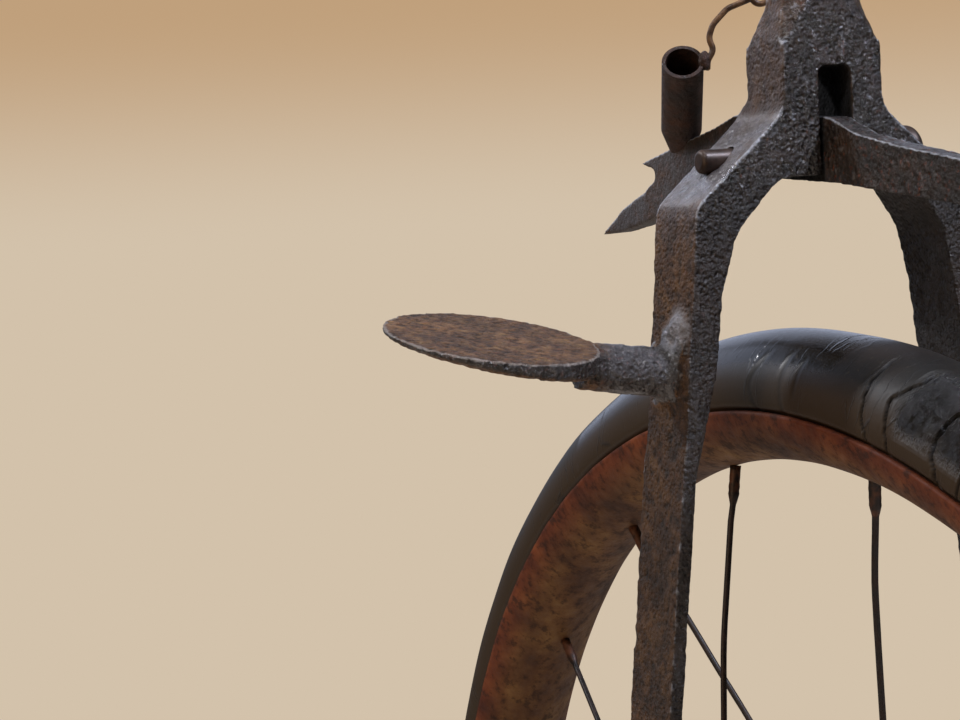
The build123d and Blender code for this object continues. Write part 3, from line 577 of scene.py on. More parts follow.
def even_skin(nodes, beads, grain, ease):
    """CAD solids grown together into one mesh of even small faces, with eased corners.

    beads are lumps of weld to add, as centre and radii in millimetres, grain is
    the face size in millimetres and ease the rounds of smoothing."""
    blank = bmesh.new()
    for node in nodes:
        blank.from_mesh(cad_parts[node].data)
    bmesh.ops.remove_doubles(blank, verts=blank.verts, dist=1e-6)
    for centre, radii in beads:
        size = Matrix.Diagonal((*[r * MM for r in radii], 1))
        place = Matrix.Translation(Vector(centre) * MM) @ size
        bmesh.ops.create_icosphere(blank, subdivisions=3, radius=1.0, matrix=place)
    mesh = bpy.data.meshes.new("blank")
    blank.to_mesh(mesh)
    blank.free()
    rough_piece = show("blank", mesh)
    skin = rough_piece.modifiers.new("skin", "REMESH")
    skin.mode = "VOXEL"
    skin.voxel_size = grain * MM
    eased = rough_piece.modifiers.new("eased", "SMOOTH")
    eased.factor = 0.5
    eased.iterations = ease
    evaluated = rough_piece.evaluated_get(bpy.context.evaluated_depsgraph_get())
    made = bpy.data.meshes.new_from_object(evaluated)
    bpy.data.objects.remove(rough_piece)
    return made


# How far an edge stands proud, and a hollow lies back, where its mark is full
proud_full, hollow_full = 0.12, 0.12


def hammer(mesh, texture, finish):
    """Sink the surface by texture's depth, and return the marks that the shader reads.

    texture gives a place's depth in millimetres. finish gives how worn smooth, calm,
    brown and darkened it is, from the place and its normal: the first carries a painted sheen
    and the last partly painted shade. Calm places sink less."""
    places = column(mesh.vertices, "co", 3)
    normals = column(mesh.vertex_normals, "vector", 3)
    edges = column(mesh.edges, "vertices", 2, np.int64)
    neighbours = np.ones(len(places))
    np.add.at(neighbours, edges[:, 0], 1)
    np.add.at(neighbours, edges[:, 1], 1)
    neighbours = neighbours[:, None]
    around = smoothed(places, edges, neighbours, 5)
    proud = np.einsum("ij,ij->i", places - around, normals) / MM
    rubbed_sheen, calm, brown, darkening = np.array(
        [finish(*place, *normal) for place, normal in zip(places / MM, normals)]).T
    depths = np.array([texture(*place) for place in places / MM]) * (1 - 0.6 * calm)
    around_depth = smoothed(depths[:, None], edges, neighbours, 8)[:, 0]
    soot_shade = soot_shade_in_slot(places / MM)
    # Edges wear most where they look up, and what is worn beyond the full mark, the weld bead,
    # shows bare metal as a painted highlight
    upward = np.clip(normals[:, 2] * 1.6 + 0.2, 0, 1)
    edge_worn = np.clip(proud / proud_full, 0, 1) * (0.35 + 0.65 * upward)
    # Mesh hollows, where dirt lies, and the finish's darkening, which is partly painted shade, make
    # one mark
    hollow_shade = np.maximum((depths - around_depth) / hollow_full, darkening)
    marks = {
        "worn": np.maximum(edge_worn * (1 - soot_shade), np.clip((rubbed_sheen - 1) / 0.5, 0, 1)),
        "hollow_shade": np.clip(hollow_shade, 0, 1),
        "rubbed_sheen": rubbed_sheen, "calm": calm, "brown": brown, "soot_shade": soot_shade,
    }
    mesh.vertices.foreach_set("co", (places - normals * depths[:, None] * MM).ravel())
    mesh.update()
    return marks


def part_of_skin(mesh, marks, name, chosen, body, slot, replaced):
    """The chosen faces of a skin as a piece of their own, shaded as if they were still joined."""
    starts = column(mesh.polygons, "loop_start", 1, np.int64)
    corners = column(mesh.loops, "vertex_index", 1, np.int64)[:, 0]
    totals = column(mesh.polygons, "loop_total", 1, np.int64)[:, 0]
    places = column(mesh.vertices, "co", 3)
    normals = column(mesh.vertex_normals, "vector", 3)
    kept_faces = []
    for sides in (4, 3):
        faces = corners[starts[totals == sides] + np.arange(sides)]
        if len(faces):
            kept_faces.append(faces[chosen(places[faces].mean(1) / MM)])
    used = np.unique(np.concatenate([faces.ravel() for faces in kept_faces]))
    again = np.zeros(len(places), dtype=np.int64)
    again[used] = np.arange(len(used))
    made = bpy.data.meshes.new(name)
    rows = [face for faces in kept_faces for face in again[faces].tolist()]
    made.from_pydata(places[used].tolist(), [], rows)
    shade_smooth(made)
    made.update()
    made.normals_split_custom_set_from_vertices(normals[used].tolist())
    here = {mark: values[used] for mark, values in marks.items()}
    add_piece(made, name, body, irons[slot], replaced, here)


def forge(nodes, grain, ease, texture, finish, parts, beads=()):
    """CAD nodes as one hammered skin, cut into pieces again by parts' chosen faces."""
    mesh = even_skin(nodes, beads, grain, ease)
    marks = hammer(mesh, texture, finish)
    for part in parts:
        part_of_skin(mesh, marks, *part)


def dented(x, y, z, wave, wave_depth, dent, dent_depth):
    """Depth in millimetres of hammer waves with sharper dents and smaller lumps on them."""
    at = Vector((x, y, z))
    aside = Vector((7.1, 3.3, 5.7))  # so that the dents don't follow the waves
    waves = 0.5 + 0.5 * noise.noise(at / wave)
    dents = max(0.0, noise.noise(at / dent + aside) + 0.1)
    lumps = 0.5 + 0.5 * noise.noise(at / (dent * 0.55))
    return waves * wave_depth + dents * dent_depth + lumps * dent_depth * 0.45


def blend_in(value, start, end):
    """0 up to start, 1 from end on, smooth between."""
    share = min(1.0, max(0.0, (value - start) / (end - start)))
    return share * share * (3 - 2 * share)


# Places on the machine in millimetres: heights along Z, how far left along Y
slot_left, slot_right = 3.1, -3.9
pivot_above_arch = 3.9
blade_top_y, blade_foot_y = 33.1, 56.2  # the blades' outer faces
blade_foot_above_axle = 8.1
axle_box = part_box("axle")
axle_height = (axle_box[0].z + axle_box[1].z) / 2 / MM
pivot_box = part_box("brake_pivot_pin")
pivot_height = (pivot_box[0].z + pivot_box[1].z) / 2 / MM
arch_height = pivot_height - pivot_above_arch
weld_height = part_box("left_blade")[1].z / MM
step_height = (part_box("step")[0].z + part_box("step")[1].z) / 2 / MM

# Soot and painted shade in the slot: how far over the slot's walls, forward and back
# of the middle, and from the arch's underside up, with the widths over which it fades
soot_shade_reach, soot_shade_fade = 0.9, 0.4
soot_shade_depth, soot_shade_end_fade = 8.6, 0.6
soot_shade_low, soot_shade_high = 3, 22.2

# Finishes of the fork: where each starts and where it is full
slope_aside = (9, 13)  # the shoulders' slopes, beside the block
slope_foot = (arch_height - 9, arch_height - 3)
slope_top = (arch_height + 22, arch_height + 13)
block_foot = (arch_height + 10, arch_height + 14)
block_top = (arch_height + 28, arch_height + 24)
arch_inside = (arch_height + 4, arch_height - 6)
leg_top = (arch_height + 8, arch_height - 6)
blade_top = (arch_height - 4, arch_height - 18)
bead_reach = (6.0, 2.5)  # from the middle of the weld's bead
# The weld bead's mark goes over 1 so that its metal shows: a painted highlight
bead_rub_sheen = 1.6  # over 1, so that its metal shows
plate_start = (47, 52)  # from the step's shank out to its plate
step_half_zone = 30  # the step's share of the skin, above and below its middle
# How much of a face's normal points a way: where that starts to tell, and is full
looks_up, looks_aside, looks_in, looks_back = (0.35, 0.6), (0.45, 0.85), (0.3, 0.8), (0.4, 0.8)
plate_looks_up = (0.35, 0.8)

# Where the step is welded on: a lump above the shank and smaller ones round it,
# each as its centre and radii
step_bead = (-3.0, 33.7, arch_height - 28.2)
step_beads = [
    (step_bead, (3.4, 1.9, 3.0)),
    ((0.8, 33.6, arch_height - 29.6), (3.4, 1.6, 2.6)),
    ((-5.4, 34.2, arch_height - 32.0), (2.4, 1.6, 3.0)),
    ((5.6, 34.2, arch_height - 33.0), (2.0, 1.5, 3.0)),
    ((-4.4, 34.9, arch_height - 41.6), (3.2, 1.6, 2.4)),
    ((3.0, 35.0, arch_height - 42.6), (3.6, 1.6, 2.2)),
]


def soot_shade_in_slot(places):
    """Soot and old grease on the walls of the lever's slot through the crown, with painted shade
    there.
    """
    x, y, z = places.T
    off_middle = np.abs(y - (slot_left + slot_right) / 2) - (slot_left - slot_right) / 2
    inside = np.clip((soot_shade_reach - off_middle) / soot_shade_fade, 0, 1)
    inside *= np.clip((soot_shade_depth - np.abs(x)) / soot_shade_end_fade, 0, 1)
    return inside * np.where((z > arch_height - soot_shade_low) & (z < arch_height + soot_shade_high), 1.0, 0.0)


def blade_face(height):
    """How far out the blades' outer faces stand at a height."""
    share = (weld_height - height) / (weld_height - axle_height - blade_foot_above_axle)
    return blade_top_y + share * (blade_foot_y - blade_top_y)


def fork_texture(x, y, z):
    """Close lumps on the crown, longer hammering on the blades, fine pits on the step's plate."""
    if y > 44 and z > step_height - 20:
        return dented(x, y, z, 6.0, 0.1, 1.4, 0.32)
    crown = blend_in(z, weld_height - 6, weld_height + 12)
    near_weld = max(0.0, 1 - abs(z - weld_height) / 5)
    ripple = 0.5 + 0.5 * noise.noise(Vector((x, y, z)) / 1.6)
    lumpy = dented(x, y, z, 7.0, 0.2, 1.6, 0.36)
    hammered = dented(x, y, z * 0.9, 8.0, 0.26, 1.9, 0.36)
    return crown * lumpy + (1 - crown) * hammered + near_weld * 0.25 * ripple


def fork_finish(x, y, z, nx, ny, nz):
    """How worn smooth, calm, brown and darkened a place of the fork is.

    The shoulders' slopes are worn smooth, and so is the weld above the step's root: the
    slopes get a painted sheen, a lighter grey where they look up, and the weld a painted
    highlight of bare metal. The sides are calm and brown, and the block's sides a little
    darker. The rear is black, with painted shade below the shoulders, like the inside of the arch."""
    # The shoulders' slopes, where they look up, get the worn grey with its painted sheen
    slope = blend_in(nz, *looks_up) * blend_in(abs(y), *slope_aside) * blend_in(z, *slope_foot)
    slope *= blend_in(z, *slope_top)
    # The weld bead gets a painted highlight: worn grey and bare metal
    bead = bead_rub_sheen * blend_in(math.dist((x, y, z), step_bead), *bead_reach)
    rubbed_sheen = max(slope, bead)
    if y > blade_face(z) + 1 and abs(z - step_height) < step_half_zone:
        # the step: a brown plate on a shank that is still black
        plate = blend_in(y, *plate_start) * blend_in(abs(nz), *plate_looks_up)
        # The shank gets some of the worn grey too, as a painted sheen
        shank_sheen = 0.45 * blend_in(y, *plate_start[::-1])
        return max(rubbed_sheen, shank_sheen), 0.3 * min(rubbed_sheen, 1), plate, 0.0
    side = blend_in(abs(ny), *looks_aside)
    on_blade = blend_in(z, *blade_top)
    # Inner faces of the legs under the arch get painted shade: a blacker skin and the darker mix
    inside = blend_in(-ny * math.copysign(1, y), *looks_in) * blend_in(z, *arch_inside)
    brown = side * (0.65 + 0.35 * on_blade) + (1 - side) * 0.35 * on_blade
    calm = max(0.5 * bead if bead > slope else slope, 0.6 * side * (1 - on_blade))
    # Painted shade on the rear faces below the shoulders
    rear_shade = 0.85 * blend_in(z, *leg_top) * blend_in(-nx, *looks_back) * (1 - min(1, bead))
    # The block's sides are a little darker
    block_darkening = 0.4 * side * (blend_in(z, *block_foot) * blend_in(z, *block_top))
    return rubbed_sheen, calm, brown * (1 - 0.7 * inside), max(inside, rear_shade, block_darkening)


def lever_texture(x, y, z):
    """Flaked where the arm is bare, and smoother towards the leaf-shaped tail."""
    return dented(x, y, z, 5.0, 0.12, 1.9, 0.28) * (1 - 0.7 * blend_in(x, 6, 30)) + 0.03


def lever_finish(x, y, z, nx, ny, nz):
    """Brown and darker at its sides, black above, and calm from the tube to the tail, which gets
    some worn grey with a painted sheen.
    """
    front = blend_in(x, 6, 26)
    side = blend_in(abs(ny), 0.4, 0.8)
    darkening = 0.45 * side * (1 - front)
    # At the tail some worn grey with its painted sheen; the sides are darker
    return 0.35 * front * blend_in(x, 40, 60), front, max(0.7 * side, 0.8 * front, 0.15), darkening


def shoe_texture(x, y, z):
    return dented(x, y, z, 6.0, 0.12, 2.4, 0.25)


def shoe_finish(x, y, z, nx, ny, nz):
    """Brown all over, and nowhere rubbed."""
    return 0.0, 0.0, 1.0, 0.0


def crown_side(at):
    return at[:, 2] > weld_height


def step_side(at):
    """Places that belong to the step: outside the blade's face. Its rivet is inside."""
    outside = at[:, 1] > blade_face(at[:, 2]) + 0.6
    return outside & (np.abs(at[:, 2] - step_height) < step_half_zone)


def left_blade_side(at):
    return ~crown_side(at) & (at[:, 1] > 0) & ~step_side(at)


def right_blade_side(at):
    return ~crown_side(at) & (at[:, 1] < 0)


def everything(at):
    return np.ones(len(at), dtype=bool)


# Each piece: its name, its faces, its body, its slot and the node that it stands for
forge(
    ["fork_crown", "left_blade", "right_blade", "step"], 0.5, 5, fork_texture, fork_finish,
    [
        ("crown_forging", crown_side, "fork", "crown_iron", "fork_crown"),
        ("left_blade_forging", left_blade_side, "fork", "blade_iron", "left_blade"),
        ("right_blade_forging", right_blade_side, "fork", "blade_iron", "right_blade"),
        ("step_forging", step_side, "fork", "step_iron", "step"),
    ],
    step_beads,
)
forge(["brake_lever"], 0.45, 8, lever_texture, lever_finish,
      [("lever_forging", everything, "brake", "lever_iron", "brake_lever")])
forge(["brake_shoe"], 0.6, 3, shoe_texture, shoe_finish,
      [("shoe_forging", everything, "brake", "shoe_iron", "brake_shoe")])


# The wheel, in millimetres: sections are round about a circle of ring_radius

wheel_radius = 203.0
section_radius = 13.6
seat_radius = 12.25
lip_radius = 187.15
ring_radius = wheel_radius - section_radius
rim_outside = 13.8
rim_inside = 12.4
rim_lip_radius = 187.0
# Rows of the tyre's grid: from and to in degrees round the wheel, and their spacing
tread_rows = [(62, 86, 0.9), (86, 118, 0.26), (118, 132, 0.9), (132, 422, 3.0)]
tread_columns, seat_columns = 68, 12
rim_row_deg, rim_columns, channel_columns = 0.5, 36, 16

# Cracks that run across the tread: the places in degrees round the wheel and
# round the section, which starts at the left lip, then width and depth in mm
# and how much painted shade darkens them. Those at 88 to 93 degrees are soft creases.
tread_cracks = [
    ([(99.7, 73), (99.9, 55), (99.8, 41), (99.8, 29), (100.1, 17), (100.4, 5), (101.1, -7)],
     0.55, 1.5, 1.0),
    ([(103.4, 72), (103.1, 50), (102.3, 41), (102.0, 32), (102.2, 22), (102.5, 11), (103.0, -2)],
     0.55, 1.5, 1.0),
    ([(107.3, 75), (107.1, 50), (106.9, 39), (106.8, 24), (106.9, 15), (107.3, 5), (107.9, -7)],
     0.7, 1.9, 1.0),
    ([(110.4, 60), (110.0, 30), (109.8, 11), (109.8, -3)], 0.5, 1.5, 1.0),
    ([(89.0, 48), (88.9, 40), (88.3, 26), (87.8, 14), (88.2, 2), (88.8, -8)], 1.5, 0.16, 0.5),
    ([(91.4, 50), (91.1, 31), (91.3, 21), (91.5, 11), (91.9, -4)], 1.4, 0.14, 0.45),
    ([(93.1, 46), (92.9, 31), (93.0, 18), (93.2, 6)], 1.2, 0.1, 0.35),
    ([(114.3, 86), (113.8, 62), (113.9, 40), (114.4, 18), (114.2, -5)], 0.55, 1.5, 1.0),
]
crack_rounding = 6  # rounds of smoothing of a crack's corners
crack_wiggle_deg, crack_wiggle_length = 0.14, 6
crack_tip, crack_start = 14, 6  # degrees of the section over which a crack shallows out
ridge_turn_mm, ridge_across_mm, ridge_depth = 1.0, 2.6, 0.3


def ring_piece(name, turns, radius, across, marks, material, replaced):
    """A closed ring from rows round the wheel and columns round its section."""
    turn_rad = np.radians(turns)
    height = axle_height + radius * np.sin(turn_rad)
    points = np.stack([radius * np.cos(turn_rad), across, height], -1)
    rows, columns = turns.shape
    ids = np.arange(rows * columns).reshape(rows, columns)
    after = np.roll(ids, -1, 0)
    faces = np.stack([ids, np.roll(ids, -1, 1), np.roll(after, -1, 1), after], -1)
    mesh = bpy.data.meshes.new(name)
    mesh.from_pydata((points.reshape(-1, 3) * MM).tolist(), [], faces.reshape(-1, 4).tolist())
    shade_smooth(mesh)
    mesh.update()
    add_piece(mesh, name, "wheel", material, replaced, marks)


def tyre_marks(turns, sides):
    """How far each place of the tread is sunk in millimetres, and its marks: crack, flaked."""
    sunk = np.zeros(turns.shape)
    crack = np.zeros(turns.shape)
    for points, width, depth, black in tread_cracks:
        line = np.array(points)[::-1]
        centre = np.interp(sides, line[:, 1], line[:, 0])
        for _ in range(crack_rounding):
            centre[:, 1:-1] = (centre[:, :-2] + centre[:, 1:-1] + centre[:, 2:]) / 3
        wiggle = np.array([
            noise.noise(Vector((side / crack_wiggle_length, points[0][0], 1.0)))
            for side in sides[0]])
        off_centre = np.abs(turns - centre - wiggle * crack_wiggle_deg)
        away = off_centre * math.radians(1) * wheel_radius
        ends = np.clip((line[-1, 1] - sides) / crack_tip, 0, 1)
        if line[0, 1] > 0:
            ends *= np.clip((sides - line[0, 1]) / crack_start, 0, 1)
        shape = np.clip(1 - away / width, 0, 1) * ends
        sunk = np.maximum(sunk, depth * shape)
        # Painted shade fills a real crack from wall to wall, a crease only at its bottom
        steepness = 3 if black == 1 else 1
        crack = np.maximum(crack, np.clip(shape * steepness, 0, 1) * black)
        # The rubber sinks a little beside a crack
        sunk += 0.08 * depth * np.exp(-((away - 2.5 * width) / width) ** 2) * ends
    # Flaked places with a raw, glittering grain, from the second crack on
    patchy = 0.5 + 0.5 * np.array([
        [noise.noise(Vector((turn / 1.6, side / 14, 5.0))) for side in sides[0]]
        for turn in turns[:, 0]])
    along = np.clip((turns - 102.6) / 1.0, 0, 1) * np.clip((116 - turns) / 3, 0, 1)
    over = np.clip((sides - 6) / 14, 0, 1) * np.clip((84 - sides) / 16, 0, 1)
    flaked = np.clip(along * over * (0.45 + patchy) - 0.05, 0, 1)
    for place in zip(*np.nonzero(flaked > 0.02)):
        turn_mm = math.radians(turns[place]) * wheel_radius
        side_mm = math.radians(sides[place]) * section_radius
        ridge = noise.noise(Vector((turn_mm / ridge_turn_mm, side_mm / ridge_across_mm, 8.0)))
        sunk[place] += flaked[place] * ridge_depth * abs(ridge)
    return sunk, crack, flaked


def ring_drift(turns, sides, size):
    """Slow swells round the wheel, from -1 to 1."""
    rows = []
    for turn in np.radians(turns):
        ahead, up = math.cos(turn) * size, math.sin(turn) * size
        rows.append([noise.noise(Vector((ahead, up, side / 50))) for side in sides])
    return np.array(rows)


def build_tyre():
    """The tyre as a grid: close rows over the top of the wheel, wider ones elsewhere."""
    turns = np.concatenate([
        np.arange(start, end, math.degrees(spacing / wheel_radius))
        for start, end, spacing in tread_rows])
    lip_out = math.degrees(math.asin((lip_radius - ring_radius) / section_radius))
    lip_in = math.degrees(math.asin((lip_radius - ring_radius) / seat_radius))
    sides = np.concatenate([
        np.linspace(lip_out, 180 - lip_out, tread_columns),
        np.linspace(180 - lip_in, 360 + lip_in, seat_columns)])
    turn_grid, side_grid = np.meshgrid(turns, sides, indexing="ij")
    sunk, crack, flaked = tyre_marks(turn_grid, side_grid)
    # The tread swells and sinks gently, and rounds over at its lips
    sunk += 0.25 + 0.22 * ring_drift(turns, sides, 9)
    outer = side_grid <= 180 - lip_out + 1e-6
    edge = np.minimum(side_grid - lip_out, 180 - lip_out - side_grid)
    sunk += np.where(outer, 0.9 * np.clip(1 - edge / 5.0, 0, 1) ** 2, 0)
    reach = np.where(outer, section_radius - np.clip(sunk, 0.02, None), seat_radius)
    radius = ring_radius + reach * np.sin(np.radians(side_grid))
    radius = np.where(outer, np.maximum(radius, lip_radius), radius)
    marks = {
        "round_mm": np.radians(turn_grid) * wheel_radius,
        "across_mm": np.radians(side_grid) * section_radius,
        "crack": np.where(outer, crack, 0), "flaked": np.where(outer, flaked, 0),
        "dull": np.clip((turn_grid - 95.5) / 2, 0, 1),
        "side": np.clip((np.abs(side_grid - 90) - 52) / 22, 0, 1)}
    across = reach * np.cos(np.radians(side_grid))
    ring_piece("solid_tyre", turn_grid, radius, across, marks, tyre_rubber, "tyre")


def build_rim():
    """The rolled rim, its lips a little uneven from years of knocks."""
    turns = np.arange(0, 360, rim_row_deg)
    lip_out = -math.degrees(math.asin((ring_radius - rim_lip_radius) / rim_outside))
    lip_in = -math.degrees(math.asin((ring_radius - rim_lip_radius) / rim_inside))
    sides = np.concatenate([
        np.linspace(lip_out, -180 - lip_out, rim_columns),
        np.linspace(-180 - lip_in, lip_in, channel_columns)])
    turn_grid, side_grid = np.meshgrid(turns, sides, indexing="ij")
    outer = np.zeros(turn_grid.shape, dtype=bool)
    outer[:, :rim_columns] = True
    dents = 0.5 + 0.5 * ring_drift(turns, sides, 12)
    sunk = np.where(outer, 0.04 + 0.22 * dents, -0.02)
    reach = np.where(outer, rim_outside, rim_inside) - sunk
    radius = ring_radius + reach * np.sin(np.radians(side_grid))
    # The lips are rounded and nicked
    nicks = 0.5 + 0.5 * ring_drift(turns, sides, 24)
    off_lip = np.minimum(np.abs(side_grid - lip_out), np.abs(side_grid + 180 + lip_out))
    at_lip = np.clip(1 - off_lip / 4, 0, 1)
    radius -= np.where(outer, at_lip * (0.15 + 0.35 * nicks), 0)
    marks = {"inside": np.clip((np.abs(side_grid + 90) - 72) / -30, 0, 1) * outer}
    across = reach * np.cos(np.radians(side_grid))
    ring_piece("rolled_rim", turn_grid, radius, across, marks, rim_iron, "rim")


build_tyre()
build_rim()

# Spokes, laced as the hub's holes ask: flange side, lean, side of the flange
spoke_lacing = [(1, -1, 1), (-1, -1, 1), (1, 1, -1), (-1, 1, -1)]
spoke_count = 20
spoke_phase, spoke_lead = 5.75, 72.0
flange_middle, flange_thickness, hole_circle = 21.5, 4.0, 28.0
outside_stand_off, inside_stand_off = 2.0, 0.3
wire_radius, nipple_length, nipple_neck = 0.7, 6.5, 2.0
wire_points = 44
bar_sides = 10
rim_foot_radius = ring_radius - rim_outside
# The spoke's head: how far back from the flange, and its radius there
head_profile = [(0.8, 0.9), (0.75, 1.4), (0.1, 1.45), (0.0, wire_radius)]
# The nipple, worn and lumpy: how far from its foot towards the rim, and its radius there
nipple_profile = [
    (-1.2, 0.9), (-0.3, 1.12), (0.4, 1.27), (1.1, 1.22), (2.0, 1.28),
    (3.0, 1.18), (4.0, 1.26), (nipple_length - 1.2, 1.2), (nipple_length + 0.1, 1.28)]
picture_right = Vector((-0.386, -0.921, -0.052))
# Bends of the spokes that time has pushed about: millimetres down from the
# rim, then how far the wire stands off its straight line to the picture's right
spoke_bends = {
    4: [(8, 0), (27, 1.9), (41, 2.9), (54, 4.0), (85, 4.8), (120, 3.2), (150, 0)],
    5: [(8, 0), (12, -0.25), (24, -0.2), (36, -0.15), (42, 0.1), (55, 1.05), (80, 1.9),
        (115, 1.4), (150, 0)],
    6: [(8, 0), (12, -0.15), (18, -0.43), (24, -0.57), (33, -0.38), (42, -0.15), (55, 0.22),
        (85, 0.6), (150, 0)],
}


def round_bar(name, points, radii):
    """A bar of changing radius along points, in millimetres, with closed ends."""
    points = [Vector(point) for point in points]
    shaping = bmesh.new()
    rings = []
    side_way = None
    for number, point in enumerate(points):
        before, after = points[max(number - 1, 0)], points[min(number + 1, len(points) - 1)]
        ahead = (after - before).normalized()
        if side_way is None:
            side_way = ahead.orthogonal().normalized()
        side_way = (side_way - ahead * side_way.dot(ahead)).normalized()
        other_way = ahead.cross(side_way)
        ring = []
        for side in range(bar_sides):
            turn = 2 * math.pi * side / bar_sides
            way = side_way * math.cos(turn) + other_way * math.sin(turn)
            ring.append(shaping.verts.new((point + way * radii[number]) * MM))
        rings.append(ring)
    for ring, after in zip(rings, rings[1:]):
        for side in range(bar_sides):
            beside = (side + 1) % bar_sides
            shaping.faces.new((ring[side], ring[beside], after[beside], after[side]))
    shaping.faces.new(rings[0][::-1])
    shaping.faces.new(rings[-1])
    mesh = bpy.data.meshes.new(name)
    shaping.to_mesh(mesh)
    shaping.free()
    for face in mesh.polygons:
        face.use_smooth = len(face.vertices) == 4
    return mesh


def on_wheel(angle, radius, left):
    """A place by its angle and distance round the axle, and how far left it is."""
    return Vector((math.cos(angle) * radius, left, axle_height + math.sin(angle) * radius))


def build_spoke(number):
    """One spoke: its head in the flange, the bend, a slightly crooked wire and the nipple."""
    flange_side, lean, face = spoke_lacing[number % 4]
    rim_angle = math.radians(spoke_phase + 360 / spoke_count * number)
    hole_angle = rim_angle + lean * math.radians(spoke_lead)
    stand_off = outside_stand_off if face > 0 else inside_stand_off
    reach = flange_thickness / 2 + wire_radius + stand_off
    rim_end = on_wheel(rim_angle, rim_foot_radius, 0)
    corner = on_wheel(hole_angle, hole_circle, flange_side * (flange_middle + face * reach))
    head_y = flange_side * (flange_middle - face * flange_thickness / 2)
    head = Vector((corner.x, head_y, corner.z))
    along = (rim_end - corner).normalized()
    length = (rim_end - corner).length
    out_way = Vector((0, flange_side * face, 0))
    points = [head - out_way * back for back, _ in head_profile]
    radii = [radius for _, radius in head_profile]
    points += [corner - out_way, corner - out_way * 0.3 + along * 0.3, corner + along]
    radii += [wire_radius] * 3
    bends = spoke_bends.get(number + 1)
    sideways = (picture_right - along * picture_right.dot(along)).normalized()
    crooked = along.cross(sideways)
    wire_length = length - nipple_length - nipple_neck
    for share in np.linspace(0.05, 1.0, wire_points):
        at = share * wire_length
        belly = math.sin(math.pi * share)
        swing = 0.35 * noise.noise(Vector((at / 40, number * 3.7, 0.0))) * belly
        if bends:
            swing = float(np.interp(length - at, *zip(*bends)))
        other = 0.35 * noise.noise(Vector((at / 36, number * 5.1, 9.0))) * belly
        points.append(corner + along * at + sideways * swing + crooked * other)
        radii.append(wire_radius * (1 + 0.05 * noise.noise(Vector((at / 5, number, 4.0)))))
    for from_foot, radius in nipple_profile:
        at = length - nipple_length + from_foot
        points.append(corner + along * at)
        radii.append(radius * (1 + 0.09 * noise.noise(Vector((at, number * 2.3, 6.0)))))
    name = f"laced_spoke_{number + 1:02d}"
    mesh = round_bar(name, points, radii)
    rusty = np.zeros(len(mesh.vertices))
    rusty[-len(nipple_profile) * bar_sides:] = 1.0
    add_piece(mesh, name, "wheel", spoke_iron, f"spoke_{number + 1:02d}",
              {"rusty": rusty})


for number in range(spoke_count):
    build_spoke(number)


# CAD nodes that keep their shape

kept = {
    "hub": hub_iron, "axle": axle_steel,
    "left_axle_nut": axle_steel, "right_axle_nut": axle_steel,
    "left_axle_washer": axle_steel, "right_axle_washer": axle_steel,
    "left_thrust_collar": axle_steel, "right_thrust_collar": axle_steel,
    "brake_pivot_pin": pin_steel, "brake_shoe_rivet": irons["shoe_iron"],
    "cord_tube": irons["tube_iron"], "pull_wire": pull_wire_iron,
}
for node, material in kept.items():
    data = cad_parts[node].data
    data.materials.clear()
    data.materials.append(material)


def braze_lump():
    """The lump of brass braze, browned over, that holds the pull wire to the cord tube."""
    radii = (1.3 * MM, 1.3 * MM, 2.0 * MM, 1)
    ripple_size, ripple_height = 1.1, 0.25
    wire = column(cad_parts["pull_wire"].data.vertices, "co", 3)
    tube = column(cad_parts["cord_tube"].data.vertices, "co", 3)
    foot = wire[np.argmin([np.min(np.linalg.norm(tube - at, axis=1)) for at in wire])]
    side = tube[np.argmin(np.linalg.norm(tube - foot, axis=1))]
    middle = Matrix.Translation(Vector(foot * 0.6 + side * 0.4))
    shaping = bmesh.new()
    bmesh.ops.create_icosphere(
        shaping, subdivisions=4, radius=1.0, matrix=middle @ Matrix.Diagonal(radii))
    for vertex in shaping.verts:
        ripple = noise.noise(vertex.co / MM / ripple_size)
        vertex.co += (vertex.co - Vector(foot)).normalized() * ripple * ripple_height * MM
    mesh = bpy.data.meshes.new("pull_wire_braze")
    shaping.to_mesh(mesh)
    shaping.free()
    shade_smooth(mesh)
    add_piece(mesh, "pull_wire_braze", "brake", irons["tube_iron"])


braze_lump()


# The room

def pale_floor():
    """A plain pale floor that fades out into the room's own colour."""
    floor_radius, floor_corners, under_tyre = 1.3, 60, 0.0005
    material, tree, place = new_material("pale_floor")
    away = add(tree, "VectorMath", {0: place}, operation="LENGTH")
    fade = add(tree, "MapRange", {
        "Value": away.outputs["Value"], "From Min": 0.45, "From Max": 1.15,
        "To Min": 1.0, "To Max": 0.0}, interpolation_type="SMOOTHSTEP")
    floor_shader = add(tree, "BsdfDiffuse", {"Color": linear("#ddd0bf")})
    clear = add(tree, "BsdfTransparent")
    mixed = add(tree, "MixShader", {
        0: fade.outputs["Result"], 1: clear.outputs[0], 2: floor_shader.outputs[0]})
    finish_material(tree, mixed.outputs[0])
    mesh = bpy.data.meshes.new("floor")
    turns = [math.radians(360 / floor_corners * corner) for corner in range(floor_corners)]
    ring = [(floor_radius * math.cos(turn), floor_radius * math.sin(turn), 0) for turn in turns]
    mesh.from_pydata(ring, [], [list(range(floor_corners))])
    mesh.materials.append(material)
    floor = show("floor", mesh)
    floor.location = (0, 0, cad_low.z - under_tyre)


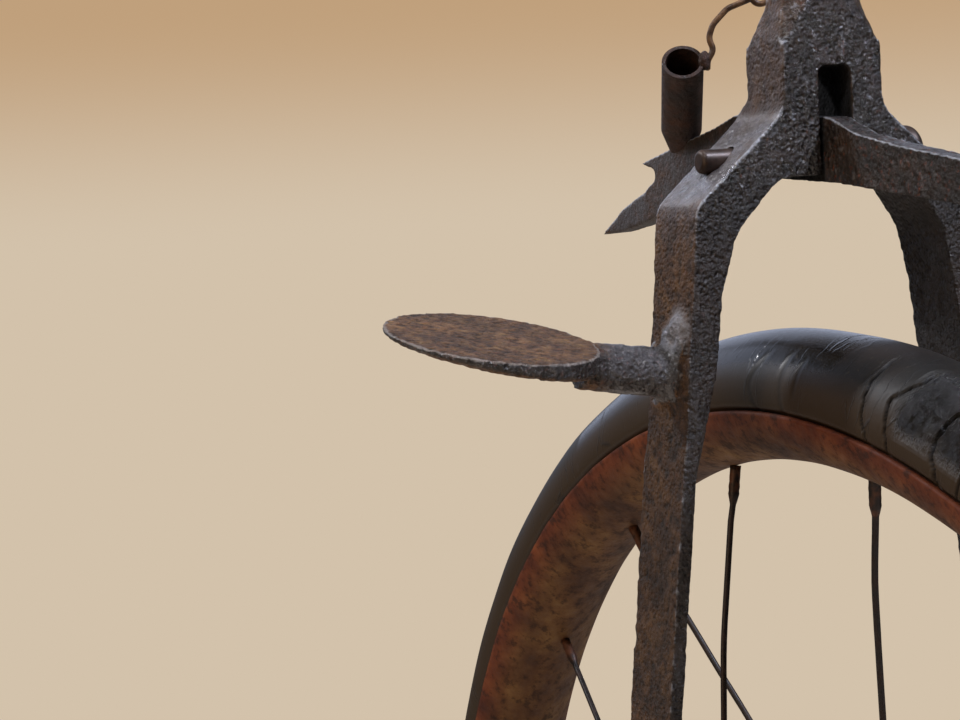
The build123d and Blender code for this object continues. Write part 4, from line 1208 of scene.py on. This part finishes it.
def room():
    """The world: pale for the camera, and dimmer as light and in gloss."""
    world = bpy.data.worlds.new("room")
    bpy.context.scene.world = world
    world.use_nodes = True
    tree = world.node_tree
    tree.nodes.clear()
    way = add(tree, "TexCoord").outputs["Generated"]
    parts = add(tree, "SeparateXYZ", {0: way})
    # Pale cream low down, a little browner above the horizon
    height = add(tree, "MapRange", {
        "Value": parts.outputs["Z"], "From Min": -0.02, "From Max": 0.09,
        "To Min": 0.0, "To Max": 1.0}, interpolation_type="SMOOTHSTEP")
    backdrop = add(tree, "Mix", {
        0: height.outputs["Result"], 6: linear("#d3c2ab"), 7: linear("#c0a07c")},
        data_type="RGBA")
    seen = add(tree, "Background", {"Color": backdrop.outputs[2], "Strength": 1.0})
    # In gloss the room is dim, and dimmest behind the machine
    side = add(tree, "MapRange", {
        "Value": parts.outputs["X"], "From Min": -0.75, "From Max": 0.5,
        "To Min": 0.05, "To Max": 0.1}, interpolation_type="SMOOTHSTEP")
    mirrored = add(tree, "Background", {
        "Color": linear("#d8c8b2"), "Strength": side.outputs["Result"]})
    fill = add(tree, "Background", {"Color": linear("#d9cdc0"), "Strength": 0.15})
    rays = add(tree, "LightPath")
    shiny = add(tree, "Math", {
        0: rays.outputs["Is Glossy Ray"], 1: rays.outputs["Is Transmission Ray"]},
        operation="MAXIMUM")
    lit = add(tree, "MixShader", {
        0: shiny.outputs[0], 1: fill.outputs[0], 2: mirrored.outputs[0]})
    shown = add(tree, "MixShader", {
        0: rays.outputs["Is Camera Ray"], 1: lit.outputs[0], 2: seen.outputs[0]})
    add(tree, "OutputWorld", {"Surface": shown.outputs[0]})


def soft_lamp(name, place, target, size, power, colour):
    """A soft box: its size is across and up, and the camera doesn't see it."""
    data = bpy.data.lights.new(name, "AREA")
    data.shape = "RECTANGLE"
    data.size, data.size_y = size
    data.energy = power
    data.color = linear(colour)[:3]
    lamp = show(name, data)
    lamp.visible_camera = False
    lamp.location = place
    lamp.rotation_mode = "QUATERNION"
    lamp.rotation_quaternion = (Vector(target) - Vector(place)).to_track_quat("-Z", "Y")


pale_floor()
room()
# Each lamp: name, place, where it points, size, power and colour
for lamp in [
    ("skylight", (-0.43, 0.62, 0.9), (0, 0, -0.05), (0.12, 0.12), 4.2, "#f4f3f4"),
    ("sky_behind", (-0.5, -0.5, 0.95), (0, 0, -0.05), (0.1, 0.1), 17.0, "#e6ebff"),
    ("overhead", (0.06, 0.03, 1.05), (0, 0, -0.08), (0.2, 0.2), 3.0, "#f0f2fa"),
    ("sky_gap", (0.72, 0.64, 0.64), (0, 0, -0.05), (0.1, 0.1), 5.5, "#f3f4fa"),
    ("front_window", (1.9, -0.4, 0.5), (0, -0.4, 0.5), (2.4, 1.1), 6.5, "#d3e0ff"),
    ("left_window", (-0.4, 1.35, 0.0), (0, 0, -0.1), (0.8, 0.8), 4.6, "#ffdab2"),
]:
    soft_lamp(*lamp)
